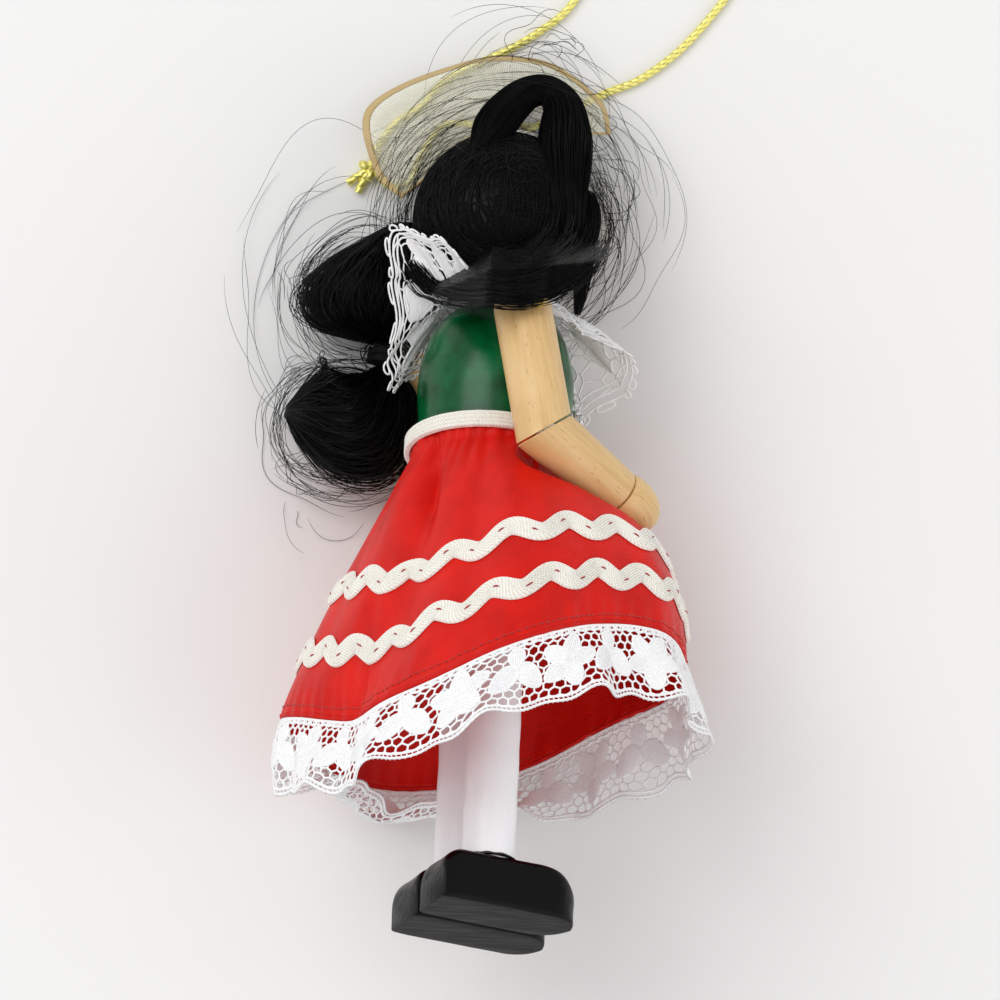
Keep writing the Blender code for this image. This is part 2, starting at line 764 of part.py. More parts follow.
def skirt_point(angle, fall):
    """A point of the skirt's middle surface: fall runs from the waist 0 to the hem 1."""
    turn = angle + FOLD_TURN
    ease = min(max((fall - FLARE_START) / (1 - FLARE_START), 0.0), 1.0)
    hem_z = HEM_HEIGHT + HEM_TILT * cos(turn) + HEM_SWAY * sin(turn)
    hem_z += HEM_DIP * cos(2 * turn + 0.61) + HEM_RIPPLE * cos(3 * turn - 2.81)
    puff = 1.75 + 0.55 * cos(turn) + 0.45 * bump(angle, radians(4), 0.33)
    valley = BACK_VALLEY + BACK_VALLEY_DRIFT * sin(pi * fall)
    hem_r = HEM_RADIUS - BACK_VALLEY_DEPTH * bump(angle, valley, 0.33)
    hem_r += 1.0 * MM * cos(3 * angle + 0.6) + 0.6 * MM * cos(7 * angle)
    radius = SKIRT_TOP_RADIUS + (hem_r - SKIRT_TOP_RADIUS) * (1 - (1 - ease) ** puff)
    radius -= SIDE_FOLD_DEPTH * 4 * ease * (1 - ease) * bump(angle, SIDE_FOLD, 0.16)
    top = SKIRT_TOP + waist_sway(angle)
    height = top + (hem_z - top) * fall
    return clear_of_arms(Vector((radius * cos(angle), radius * sin(angle), height)))


def arm_bones():
    """Start and reach of each arm's two straight parts, to the middle of the hand's round end."""
    forearm = FOREARM_REACH.normalized() * (FOREARM_LENGTH + HAND_LENGTH - HAND_DIAMETER / 2)
    for _, sign in SIDES:
        for start, reach in ((SHOULDER, UPPER_ARM_REACH), (ELBOW, forearm)):
            yield mirrored(start, sign), mirrored(reach, sign)


def clear_of_arms(point):
    """The point, pushed off the arms that lie on the cloth."""
    hold = UPPER_ARM_DIAMETER / 2 + GAP + CLOTH / 2
    for start, bone in arm_bones():
        share = min(max((point - start).dot(bone) / bone.length_squared, 0), 1)
        away = point - (start + bone * share)
        clear = hold + CLOTH_EASE
        if away.length < clear:
            inward = Vector((-point.x, -point.y, 0)).normalized()
            way = (away.normalized() + inward).normalized()
            slope = away.dot(way)
            point = point + way * ((slope**2 + clear**2 - away.length_squared) ** 0.5 - slope)
    return inside_arms(point, hold)


def inside_arms(point, hold):
    """The point, drawn in towards the doll's axis where it would lie outside an arm."""
    radius = Vector((point.x, point.y, 0)).length
    outward = Vector((point.x, point.y, 0)) / radius
    for start, bone in arm_bones():
        for step in range(ARM_STEPS + 1):
            middle = start + bone * step / ARM_STEPS - Vector((0, 0, point.z))
            along = middle.dot(outward)
            aside = (middle - outward * along).length
            if along <= 0:
                continue
            if aside < hold:
                radius = min(radius, along - (hold**2 - aside**2) ** 0.5)
            else:
                radius = min(radius, along + (aside - hold) * CLOTH_FLARE)
    return Vector((outward.x * radius, outward.y * radius, point.z))


def skirt_normal(angle, fall):
    step = 0.01
    along = skirt_point(angle + step, fall) - skirt_point(angle - step, fall)
    down = skirt_point(angle, min(fall + step, 1.0)) - skirt_point(angle, fall - step)
    return down.cross(along).normalized()


TRIM_STAND = CLOTH / 2 + GAP + RICK_RACK_THICKNESS / 2
SKIRT_REST = TRIM_STAND + RICK_RACK_THICKNESS / 2 + 0.1 * MM
SKIRT_ROWS = 12


def skirt_surface(u, v):
    row = v * SKIRT_ROWS
    fall = FLARE_START * row
    if row > 1:
        fall = FLARE_START + (1 - FLARE_START) * ((row - 1) / (SKIRT_ROWS - 1)) ** 1.5
    return lifted(skirt_point(2 * pi * u, fall), SKIRT_REST)


skirt = sheet("skirt", skirt_surface, 48, SKIRT_ROWS, CLOTH, SATIN, ring=True)

# Waistband: ribbed braid glued over the skirt's gathered top edge
def waistband():
    around = 32
    band_inside = SKIRT_TOP_RADIUS + CLOTH / 2 + GAP
    band_bottom = SKIRT_TOP - 0.8 * BRAID_HEIGHT
    section = [(0, 0), (0, BRAID_HEIGHT)]
    for ridge in range(BRAID_RIDGES):
        top = BRAID_HEIGHT * (1 - ridge / BRAID_RIDGES)
        section.append((BRAID_THICKNESS * 0.72, top - 0.02 * BRAID_HEIGHT))
        section.append((BRAID_THICKNESS, top - 0.5 * BRAID_HEIGHT / BRAID_RIDGES))
    section.append((BRAID_THICKNESS * 0.72, 0))
    points = []
    for step in range(around):
        turn = 2 * pi * step / around
        for out, rise in section:
            radius = band_inside + out
            points.append((radius * cos(turn), radius * sin(turn), band_bottom + rise + waist_sway(turn)))
    faces = []
    count = len(section)
    for step in range(around):
        here = step * count
        there = ((step + 1) % around) * count
        for corner in range(count):
            after = (corner + 1) % count
            faces.append((here + corner, here + after, there + after, there + corner))
    return place("waistband", smooth(mesh_of("waistband", points, faces), 40), TRIM)


waistband()


# Rick-rack: two wavy bands of woven braid sewn round the skirt
def rick_rack(name, middle, phase):
    level = [skirt_point(2 * pi * step / 60, middle) for step in range(60)]
    length = sum((level[step] - level[step - 1]).length for step in range(60))
    waves = round(length / RICK_RACK_WAVE)

    def surface(u, v):
        angle = 2 * pi * u
        beat = waves * angle + phase
        offset = RICK_RACK_WIDTH * (v - 0.5)
        slope = RICK_RACK_SWING * 2 * pi / RICK_RACK_WAVE * cos(beat)
        around = (skirt_point(angle + 0.01, middle) - skirt_point(angle - 0.01, middle)).length / 0.02
        drop = (skirt_point(angle, 1) - skirt_point(angle, 0)).length
        angle -= RICK_RACK_LEAN * slope * offset / around
        fall = middle + (RICK_RACK_SWING * sin(beat) + offset) / drop
        point = skirt_point(angle, fall) + skirt_normal(angle, fall) * TRIM_STAND
        return lifted(point, SKIRT_REST - TRIM_STAND)

    return sheet(name, surface, waves * 8, 1, RICK_RACK_THICKNESS, TRIM, ring=True)


rick_rack("rick_rack_upper", UPPER_BAND, 0.4)
rick_rack("rick_rack_lower", LOWER_BAND, 1.9)


# Lace hem: gathered lace edging sewn on below the hem
def lace_surface(u, v):
    angle = 2 * pi * u
    top = lifted(skirt_point(angle, 1.0), SKIRT_REST)
    outward = Vector((cos(angle), sin(angle), 0))
    wave = sin(LACE_SCALLOPS / 2 * angle)
    scallop = 0.5 * MM * cos(LACE_SCALLOPS * angle)
    fall = CLOTH / 2 + GAP + (LACE_WIDTH + scallop) * v
    spread = LACE_FLARE + 0.12 * wave
    point = top + outward * fall * sin(spread) - Vector((0, 0, fall * cos(spread)))
    return lifted(point, LACE_THICKNESS / 2)


sheet("lace_hem", lace_surface, 72, 3, LACE_THICKNESS, LACE, ring=True)


# Lace collar: gathered round the neck, narrow over the shoulders, full at the chest and the back.
# Its edge is listed by degrees round the neck, millimetres outside the chest and above the torso.
COLLAR_EDGE = (
    (-180, 5.9, 9.0),
    (-150, 4.7, 5.4),
    (-132, 1.3, 0.5),
    (-112, -2.3, -1.6),
    (-70, -2.5, -2.0),
    (-42, 1.8, -5.0),
    (-24, 8.9, -7.6),
    (-14, 7.9, -10.8),
    (-2, 2.1, -15.6),
    (14, 3.9, -12.4),
    (28, 6.1, -9.4),
    (44, 1.3, -6.5),
    (70, -2.5, -2.0),
    (112, -2.3, -1.6),
    (134, 1.5, -9.4),
    (148, 4.1, -12.6),
    (160, 3.9, -7.5),
    (170, 5.1, 2.5),
    (180, 5.9, 9.0),
)
COLLAR_SHOULDER_RADIUS = CHEST_RADIUS - 3.1 * MM
COLLAR_SHOULDER_DROP = 0.7 * MM
COLLAR_SHOULDER = 0.34      # share of the collar's width that lies on the shoulders
COLLAR_PLEATS = 19
COLLAR_PLEAT = 0.45 * MM
COLLAR_BOW = 1.0 * MM


def collar_edge(angle):
    """Outer radius and height of the collar at one angle round the neck."""
    degrees = angle * 180 / pi
    for low, high in zip(COLLAR_EDGE, COLLAR_EDGE[1:]):
        if low[0] <= degrees <= high[0]:
            t = (degrees - low[0]) / (high[0] - low[0])
            t = t * t * (3 - 2 * t)
            out = low[1] + (high[1] - low[1]) * t
            rise = low[2] + (high[2] - low[2]) * t
            return CHEST_RADIUS + out * MM, TORSO_TOP + rise * MM


def collar_surface(u, v):
    angle = -pi + 2 * pi * min(u, 0.999999)
    edge_radius, edge_height = collar_edge(angle)
    neck_height = TORSO_TOP + GAP + COLLAR_THICKNESS / 2
    shoulder_height = TORSO_TOP - COLLAR_SHOULDER_DROP
    if v < COLLAR_SHOULDER:
        t = v / COLLAR_SHOULDER
        radius = COLLAR_NECK_RADIUS + (COLLAR_SHOULDER_RADIUS - COLLAR_NECK_RADIUS) * t
        height = neck_height + (shoulder_height - neck_height) * t**3
    else:
        t = (v - COLLAR_SHOULDER) / (1 - COLLAR_SHOULDER)
        reach = edge_radius - COLLAR_SHOULDER_RADIUS
        radius = COLLAR_SHOULDER_RADIUS + reach * t
        height = shoulder_height + (edge_height - shoulder_height) * t + COLLAR_BOW * sin(pi * t)
        radius += COLLAR_PLEAT * sin(COLLAR_PLEATS * angle) * t * min(reach / (6 * MM), 1)
    return Vector((radius * cos(angle), radius * sin(angle), height))


sheet("lace_collar", collar_surface, 60, 4, COLLAR_THICKNESS, LACE, ring=True)

# Head ribbon: sheer ribbon gathered at the crown and fanned out low behind the head, laid out
# on the lying doll in millimetres from the head's centre
RIBBON_GATHER = (0.4, 13.9, 1.7)
RIBBON_GATHER_WIDTH = 7.0
RIBBON_EDGE = (
    (-15.6, 4.1, -7.1),
    (-19.7, 8.4, -8.5),
    (-21.8, 17.0, -9.3),
    (-16.4, 22.1, -10.3),
    (-6.1, 26.3, -10.5),
    (0.4, 27.2, -10.5),
    (6.6, 26.3, -10.3),
    (11.9, 22.8, -10.1),
    (14.6, 19.9, -9.5),
    (15.6, 15.7, -8.5),
)
ribbon_line = through(RIBBON_EDGE, 4)


def ribbon_surface(u, v):
    edge = ribbon_line[round(u * (len(ribbon_line) - 1))]
    gather = Vector(RIBBON_GATHER) + Vector(((u - 0.5) * RIBBON_GATHER_WIDTH, 0, 0))
    point = gather.lerp(edge, v)
    hold = 1.35 - 0.6 * exp(-(((u - 0.46) / 0.15) ** 2))
    point.z = gather.z + (edge.z - gather.z) * (1 - (1 - v) ** hold)
    flute = sin(2 * pi * RIBBON_FLUTES * u)
    point.z += 0.45 * flute * v**2 * (1.5 - v) + 0.5 * sin(pi * v)
    return off_cap(outside_head(FROM_LYING @ point * MM), RIBBON_THICKNESS / 2)


sheet("head_ribbon", ribbon_surface, len(ribbon_line) - 1, 5, RIBBON_THICKNESS, RIBBON)

# The lying doll stands its whole box on the ground, centred over the origin
bpy.context.view_layer.update()
lowest = Vector((1, 1, 1))
highest = -lowest
graph = bpy.context.evaluated_depsgraph_get()
for piece in bpy.context.collection.objects:
    if piece.type == "EMPTY" or piece.hide_render:
        continue
    solid = piece.evaluated_get(graph)
    mesh = solid.to_mesh()
    for corner in mesh.vertices:
        at = solid.matrix_world @ corner.co
        lowest = Vector(map(min, lowest, at))
        highest = Vector(map(max, highest, at))
    solid.to_mesh_clear()
table.location = (-(lowest.x + highest.x) / 2, -(lowest.y + highest.y) / 2, -lowest.z)

# Hanging cord: one loop of metallic elastic through the screw eye, tied in a knot
CORD_ROUTE = (
    (3.6, 124.9, 9.4),
    (7.0, 127.0, 5.0),
    (10.6, 129.9, 1.6),
    (14.9, 132.4, 0.6),
    (19.6, 134.6, 0.6),
    (25.0, 138.9, 0.6),
    (29.6, 144.3, 0.6),
    (33.0, 149.6, 0.6),
    (33.6, 155.4, 0.6),
    (29.6, 159.8, 0.6),
    (22.8, 160.2, 0.6),
    (16.4, 156.6, 0.6),
    (11.8, 150.6, 0.6),
    (8.2, 144.8, 0.6),
    (4.2, 141.3, 0.6),
    (-0.5, 138.2, 0.6),
    (-5.9, 135.4, 0.6),
    (-10.2, 132.6, 0.6),
    (-13.2, 128.9, 0.6),
    (-16.9, 126.2, 0.6),
    (-19.2, 122.8, 0.6),
)
RETURN_ROUTE = (
    (-3.6, 124.6, 9.4),
    (-7.0, 125.8, 5.4),
    (-10.2, 125.4, 2.2),
    (-12.8, 121.4, 0.6),
    (-14.2, 117.6, 0.6),
    (-16.8, 116.3, 0.8),
)
KNOT = (-20.6, 118.9, 1.3)

eye = lying((0, 0, eye_centre))


def cord(name, start, route, end, count):
    stations = [start, start + Vector((1.2 * MM if route[0][0] > 0 else -1.2 * MM, 0, 0))]
    stations += [Vector(point) * MM for point in route]
    stations += [end]
    fine = through(stations, 12)
    lengths = [0.0]
    for before, after in zip(fine, fine[1:]):
        lengths.append(lengths[-1] + (after - before).length)
    total = lengths[-1]
    points = []
    for step in range(count):
        wanted = total * step / (count - 1)
        index = 1
        while index < len(fine) - 1 and lengths[index] < wanted:
            index += 1
        share = (wanted - lengths[index - 1]) / (lengths[index] - lengths[index - 1])
        points.append(fine[index - 1].lerp(fine[index], share))
    radii = [CORD_DIAMETER / 2] * count
    print(name, "length", round(total / MM, 1), "mm")
    return tube(name, points, radii, GOLD_CORD, table, 2)


knot_centre = Vector(KNOT) * MM
knot_size = Vector((KNOT_DIAMETER, KNOT_LENGTH, KNOT_DIAMETER)) / 2
meeting = Vector((GAP, 0, 0))


def knot_side(direction):
    """The point just off the knot's surface in this direction."""
    way = Vector(direction).normalized()
    depth = Vector((way.x / knot_size.x, way.y / knot_size.y, way.z / knot_size.z)).length
    return knot_centre + way * (1 / depth + GAP)


cord(
    "hanging_cord",
    eye + meeting,
    CORD_ROUTE,
    knot_side((0.45, 0.88, -0.2)),
    50,
)
cord(
    "cord_return",
    eye - meeting,
    RETURN_ROUTE,
    knot_side((0.85, -0.50, -0.2)),
    14,
)


def cord_knot():
    bpy.ops.mesh.primitive_uv_sphere_add(segments=12, ring_count=8, radius=1)
    ball = bpy.context.object.data
    bpy.data.objects.remove(bpy.context.object)
    for corner in ball.vertices:
        corner.co *= knot_size
    piece = place("cord_knot", smooth(ball), GOLD_CORD, table)
    piece.location = knot_centre
    for index, lean in enumerate(((-1.6, -3.6, -0.6), (-3.2, -2.2, -0.6))):
        end = Vector(lean) * MM
        tail = rod(CORD_DIAMETER / 2, 0, end.length, 8)
        cut(piece, cutter("knot_tail_%d" % index, tail, table, knot_centre, end), "UNION")


cord_knot()
bpy.context.view_layer.update()
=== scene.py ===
"""Looks of a small turned wooden doll ornament that lies on its left side."""

import json
from functools import cache
from math import atan2, cos, exp, hypot, pi, radians, sin
from random import Random

import bmesh
import bpy
from mathutils import Matrix, Vector, noise


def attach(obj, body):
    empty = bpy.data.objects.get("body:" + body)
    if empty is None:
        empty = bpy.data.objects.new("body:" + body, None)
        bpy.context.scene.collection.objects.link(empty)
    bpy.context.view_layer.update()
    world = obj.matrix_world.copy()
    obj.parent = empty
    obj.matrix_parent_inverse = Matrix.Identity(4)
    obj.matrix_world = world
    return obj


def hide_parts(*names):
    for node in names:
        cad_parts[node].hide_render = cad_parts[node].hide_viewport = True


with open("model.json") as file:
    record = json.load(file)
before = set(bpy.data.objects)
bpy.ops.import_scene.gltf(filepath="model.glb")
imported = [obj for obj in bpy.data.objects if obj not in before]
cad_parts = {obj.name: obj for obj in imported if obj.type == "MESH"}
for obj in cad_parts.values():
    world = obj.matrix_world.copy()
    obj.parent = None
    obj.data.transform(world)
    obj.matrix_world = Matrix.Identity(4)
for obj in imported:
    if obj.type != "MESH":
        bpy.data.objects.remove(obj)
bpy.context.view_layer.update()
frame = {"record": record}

# Where the doll lies. The places of its pieces are written as on the standing doll, in
# millimetres: x to its front, y to its left, z up from its soles. It lies on its left side
# with the front turned down and the feet raised by the skirt.
MM = 0.001
ROLL = radians(24)
INCLINE = radians(12)
HEAD_CENTRE = 112.0
HAIR_RADIUS = 13.5
SHOULDER = Vector((-2.9, -15.2, 92.0))
LAY_DOWN = Matrix.Rotation(-(pi / 2 + INCLINE), 3, "X") @ Matrix.Rotation(ROLL, 3, "Z")
joint_places = {joint["name"]: Vector(joint["pos_m"]) for joint in frame["record"]["behaviour"]["joints"]}
DOLL_ORIGIN = joint_places["right_shoulder"] - LAY_DOWN @ SHOULDER * MM
FLOOR_ORIGIN = DOLL_ORIGIN - Vector((0, 0, HEAD_CENTRE * sin(INCLINE) + HAIR_RADIUS)) * MM


def on_doll(x, y, z):
    """A point of the standing doll, in the row frame."""
    return LAY_DOWN @ Vector((x, y, z)) * MM + DOLL_ORIGIN


def on_floor(x, y, height):
    """A point of the lying doll: x towards its front, y towards its head, and its height."""
    return Vector((x, y, height)) * MM + FLOOR_ORIGIN


# Camera: straight above and a little from the feet, far off with a long lens, so that the
# doll shows without perspective. Its roll is the photograph's.
PHOTO_SCALE = 6.7
PHOTO_SIDE = 1000
CAMERA_ELEVATION = radians(81)
CAMERA_ROLL = radians(2.6)
SENSOR = 36.0
LENS = 620.0
view_centre = on_doll(0, 0, 67.3) + Vector((1.4 * MM, 0, 0))
away = Vector((0, -cos(CAMERA_ELEVATION), sin(CAMERA_ELEVATION)))
up = Vector((0, sin(CAMERA_ELEVATION), cos(CAMERA_ELEVATION)))
right = Vector((1, 0, 0))
turned_right = right * cos(CAMERA_ROLL) + up * sin(CAMERA_ROLL)
turned_up = up * cos(CAMERA_ROLL) - right * sin(CAMERA_ROLL)
lens_data = bpy.data.cameras.new("camera")
lens_data.lens = LENS
lens_data.sensor_width = SENSOR
lens_data.clip_end = 20
camera = bpy.data.objects.new("camera", lens_data)
camera_distance = PHOTO_SIDE / PHOTO_SCALE * MM * LENS / SENSOR
camera.matrix_world = Matrix.Translation(view_centre + away * camera_distance) @ Matrix(
    (turned_right, turned_up, away)
).transposed().to_4x4()
bpy.context.scene.collection.objects.link(camera)
bpy.context.scene.camera = camera


# Floor and light: a plain pale sheet under a broad soft lamp from the upper left, a weaker
# one from the right, and a bright even room.
def tone(code):
    """An sRGB hex colour as linear values."""
    values = [int(code[index:index + 2], 16) / 255 for index in (1, 3, 5)]
    return [value / 12.92 if value <= 0.04045 else ((value + 0.055) / 1.055) ** 2.4 for value in values] + [1]


def add(tree, kind, inputs=None, stops=(), **settings):
    """Adds a node: settings are its own properties, inputs are values or other nodes' sockets,
    and stops are the places and colours of a colour ramp."""
    made = tree.nodes.new(kind)
    for name, value in settings.items():
        setattr(made, name, value)
    for index, (position, code) in enumerate(stops):
        stop = made.color_ramp.elements[index] if index < 2 else made.color_ramp.elements.new(position)
        stop.position = position
        stop.color = tone(code)
    for name, value in (inputs or {}).items():
        if isinstance(value, bpy.types.NodeSocket):
            tree.links.new(value, made.inputs[name])
        else:
            made.inputs[name].default_value = value
    return made


def feed(tree, shader, **sources):
    """Links nodes' sockets to the shader's own."""
    for socket, source in sources.items():
        tree.links.new(source, shader.inputs[socket.replace("_", " ")])


def wave_scale(spacing):
    """The scale of a wave pattern whose bands are this many millimetres apart."""
    return 2 * pi / spacing / MM / 20


def start_finish(name, **sockets):
    """A new material with its shader's own values set; gives the material, its nodes and the shader."""
    made = bpy.data.materials.new(name)
    made.use_nodes = True
    shader = made.node_tree.nodes["Principled BSDF"]
    for socket, value in sockets.items():
        shader.inputs[socket.replace("_", " ")].default_value = value
    return made, made.node_tree, shader


FLOOR_WIDTH = 3.0
half = FLOOR_WIDTH / 2
floor_mesh = bpy.data.meshes.new("floor")
floor_corners = [(-half, -half, 0), (half, -half, 0), (half, half, 0), (-half, half, 0)]
floor_mesh.from_pydata(floor_corners, [], [(0, 1, 2, 3)])
floor = bpy.data.objects.new("floor", floor_mesh)
bpy.context.scene.collection.objects.link(floor)
floor_paper, _, _ = start_finish("matt_white_paper", Base_Color=tone("#f1f0ee"), Roughness=0.9)
floor_mesh.materials.append(floor_paper)

world = bpy.data.worlds.new("room")
world.use_nodes = True
room = world.node_tree.nodes["Background"]
room.inputs["Color"].default_value = tone("#f4f5f7")
room.inputs["Strength"].default_value = 0.74
bpy.context.scene.world = world
for name, side, strength, width in (
    ("window", (-0.55, 0.35, 0.9), 5.0, 0.75),
    ("bounce", (0.75, -0.35, 0.6), 2.0, 0.9),
):
    lamp_data = bpy.data.lights.new(name, "AREA")
    lamp_data.energy = strength
    lamp_data.size = width
    lamp = bpy.data.objects.new(name, lamp_data)
    lamp.location = view_centre + Vector(side)
    lamp.rotation_euler = Vector(side).to_track_quat("Z", "Y").to_euler()
    bpy.context.scene.collection.objects.link(lamp)
bpy.context.scene.view_settings.view_transform = "Standard"


# Hanging cord: gold metallic thread, three plies twisted round each other, 1.2 mm thick.
# One closed loop runs through the screw eye, lies on the floor and is tied behind the head.
CORD_DIAMETER = 1.2
CORD_PLIES = 3
CORD_LAY = 3.9          # length of one full turn of the plies
CORD_STEP = 0.22        # from one ring of its mesh to the next
CORD_ROUTE = (
    (3.6, 124.9, 9.4),
    (7.0, 127.0, 5.0),
    (10.6, 129.9, 1.6),
    (14.9, 132.4, 0.6),
    (19.6, 134.6, 0.6),
    (25.0, 138.9, 0.6),
    (29.6, 144.3, 0.6),
    (33.0, 149.6, 0.6),
    (33.6, 155.4, 0.6),
    (29.6, 159.8, 0.6),
    (22.8, 160.2, 0.6),
    (16.4, 156.6, 0.6),
    (11.8, 150.6, 0.6),
    (8.2, 144.8, 0.6),
    (4.2, 141.3, 0.6),
    (-0.5, 138.2, 0.6),
    (-5.9, 135.4, 0.6),
    (-10.2, 132.6, 0.6),
    (-13.2, 128.9, 0.6),
    (-16.9, 126.2, 0.6),
    (-19.2, 122.8, 0.6),
)
RETURN_ROUTE = (
    (-16.8, 116.3, 0.8),
    (-14.2, 117.6, 0.6),
    (-12.8, 121.4, 0.6),
    (-10.2, 125.4, 2.2),
    (-7.0, 125.8, 5.4),
    (-3.6, 124.6, 9.4),
)
KNOT = (-20.6, 118.9, 1.3)
EYE = (0, 0, 127.8)
EYE_GAP = 0.3           # from each end of the loop to the middle of the screw eye's ring


def through(stations, steps):
    """Points of a smooth curve through the stations, which may have any number of values."""
    curve = []
    for index in range(len(stations) - 1):
        before = Vector(stations[max(index - 1, 0)])
        start = Vector(stations[index])
        end = Vector(stations[index + 1])
        beyond = Vector(stations[min(index + 2, len(stations) - 1)])
        for step in range(steps):
            t = step / steps
            curve.append(
                start * (2 * t**3 - 3 * t**2 + 1)
                + (end - before) / 2 * (t**3 - 2 * t**2 + t)
                + end * (3 * t**2 - 2 * t**3)
                + (beyond - start) / 2 * (t**3 - t**2)
            )
    curve.append(Vector(stations[-1]))
    return curve


def frames_along(line):
    """For each point of a line, two directions square to it and each other that don't spin."""
    side = Vector((0.31, 0.87, 0.4))
    found = []
    for index in range(len(line)):
        ahead = (line[min(index + 1, len(line) - 1)] - line[max(index - 1, 0)]).normalized()
        side = (side - ahead * side.dot(ahead)).normalized()
        found.append((side, ahead.cross(side)))
    return found


def new_piece(name, mesh, finish, body="root"):
    """The mesh as a piece of the doll that rides on a body."""
    mesh.materials.clear()
    mesh.materials.append(finish)
    made = bpy.data.objects.new(name, mesh)
    bpy.context.scene.collection.objects.link(made)
    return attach(made, body)


def mesh_from(name, points, faces, smooth=60, edges=()):
    """A mesh that shades smooth where its faces meet at less than this many degrees."""
    mesh = bpy.data.meshes.new(name)
    mesh.from_pydata(points, list(edges), faces)
    if faces:
        mesh.shade_smooth()
        mesh.set_sharp_from_angle(angle=radians(smooth))
    return mesh


def even_points(line, spacing):
    """The line's points put at an even spacing, ends kept."""
    lengths = [0.0]
    for before, after in zip(line, line[1:]):
        lengths.append(lengths[-1] + (after - before).length)
    count = max(round(lengths[-1] / spacing), 1)
    points = []
    index = 1
    for step in range(count + 1):
        wanted = lengths[-1] * step / count
        while index < len(line) - 1 and lengths[index] < wanted:
            index += 1
        span = lengths[index] - lengths[index - 1]
        points.append(line[index - 1].lerp(line[index], min((wanted - lengths[index - 1]) / span, 1)))
    return points


def tube_faces(rings, around):
    """Faces of a tube of rings of points, with a flat cap at each end."""
    faces = []
    for ring in range(rings - 1):
        for step in range(around):
            after = (step + 1) % around
            here = ring * around
            there = here + around
            faces.append((here + step, here + after, there + after, there + step))
    faces.append(tuple(range(around))[::-1])
    faces.append(tuple((rings - 1) * around + step for step in range(around)))
    return faces


def twisted_cord(name, line, finish):
    """A cord of twisted plies along the line; its groove value is 1 on a ply and 0 between two."""
    line = even_points(line, CORD_STEP * MM)
    around = 24
    points = []
    grooves = []
    reach = 0.0
    for index, (place, (side, other)) in enumerate(zip(line, frames_along(line))):
        if index:
            reach += (place - line[index - 1]).length
        spin = 2 * pi * reach / (CORD_LAY * MM)
        for step in range(around):
            turn = 2 * pi * step / around
            crown = abs(cos(CORD_PLIES / 2 * (turn - spin)))
            radius = CORD_DIAMETER / 2 * MM * (0.80 + 0.20 * crown**0.8)
            points.append(place + (side * cos(turn) + other * sin(turn)) * radius)
            grooves.append(crown)
    mesh = mesh_from(name, points, tube_faces(len(line), around))
    mesh.attributes.new("groove", "FLOAT", "POINT").data.foreach_set("value", grooves)
    return new_piece(name, mesh, finish)


# Metallised polyester thread: bright yellow gold on the crowns of the plies, with painted
# shade in olive brown in the grooves between them.
gold_thread, tree, shader = start_finish(
    "metallised_gold_thread", Metallic=0.55, Roughness=0.34, Specular_IOR_Level=0.6
)
groove = add(tree, "ShaderNodeAttribute", attribute_name="groove")
# Painted shade: the grooves between the plies are coloured olive brown, the crowns bright gold.
painted_groove_shade = add(
    tree, "ShaderNodeValToRGB", {"Fac": groove.outputs["Fac"]}, stops=((0.10, "#5d5212"), (0.62, "#f0e04a"))
)
place = add(tree, "ShaderNodeTexCoord")
foil = add(tree, "ShaderNodeTexVoronoi", {"Vector": place.outputs["Object"], "Scale": 4200.0})
foil_tone = add(
    tree,
    "ShaderNodeMix",
    {"Factor": foil.outputs["Distance"], "A": painted_groove_shade.outputs["Color"], "B": tone("#fff7a0")},
    data_type="RGBA",
    blend_type="MIX",
)
foil_bump = add(
    tree, "ShaderNodeBump", {"Height": foil.outputs["Distance"], "Strength": 0.35, "Distance": 0.00006}
)
feed(tree, shader, Base_Color=foil_tone.outputs["Result"], Normal=foil_bump.outputs["Normal"])

eye_place = on_doll(*EYE)
stations = [eye_place + Vector((EYE_GAP, 0, 0)) * MM, eye_place + Vector((EYE_GAP + 1.2, 0, 0)) * MM]
stations += [on_floor(*point) for point in CORD_ROUTE]
stations += [on_floor(-20.0, 120.3, 1.15), on_floor(*KNOT), on_floor(-19.3, 118.1, 1.1)]
stations += [on_floor(*point) for point in RETURN_ROUTE]
stations += [eye_place - Vector((EYE_GAP + 1.2, 0, 0)) * MM, eye_place - Vector((EYE_GAP, 0, 0)) * MM]
cord_line = through(stations, 12)
cord = twisted_cord("hanging_cord_loop", cord_line, gold_thread)
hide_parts("hanging_cord", "cord_return")

# Knot: both ends of the cord tied together in one overhand knot, with two cut tails.
KNOT_TURN = 1.05
knot_line = []
for step in range(73):
    turn = 2 * pi * step / 72
    knot_line.append(
        on_floor(
            KNOT[0] + KNOT_TURN * (sin(turn) + 0.9 * sin(2 * turn)) * 0.62,
            KNOT[1] + KNOT_TURN * (cos(turn) - 0.9 * cos(2 * turn)) * 0.72,
            KNOT[2] - 0.05 - 0.45 * sin(3 * turn),
        )
    )
knot = twisted_cord("cord_knot_turns", knot_line, gold_thread)
for index, lean in enumerate(((-1.6, -3.6, -0.6), (-3.2, -2.2, -0.6))):
    tail_line = through(
        [
            on_floor(*KNOT),
            on_floor(*(Vector(KNOT) + Vector(lean) * 0.55)),
            on_floor(*(Vector(KNOT) + Vector(lean))),
        ],
        8,
    )
    twisted_cord(f"cord_tail_{index + 1}", tail_line, gold_thread)
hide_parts("cord_knot")


# Torso: one turned block of hardwood, bored for the legs, the neck and the arms' pins, then
# dipped in dark green gloss enamel that pools a little.
def settle(piece):
    """Applies the piece's modifiers and takes them off."""
    graph = bpy.context.evaluated_depsgraph_get()
    mesh = bpy.data.meshes.new_from_object(piece.evaluated_get(graph))
    piece.modifiers.clear()
    piece.data = mesh
    return mesh


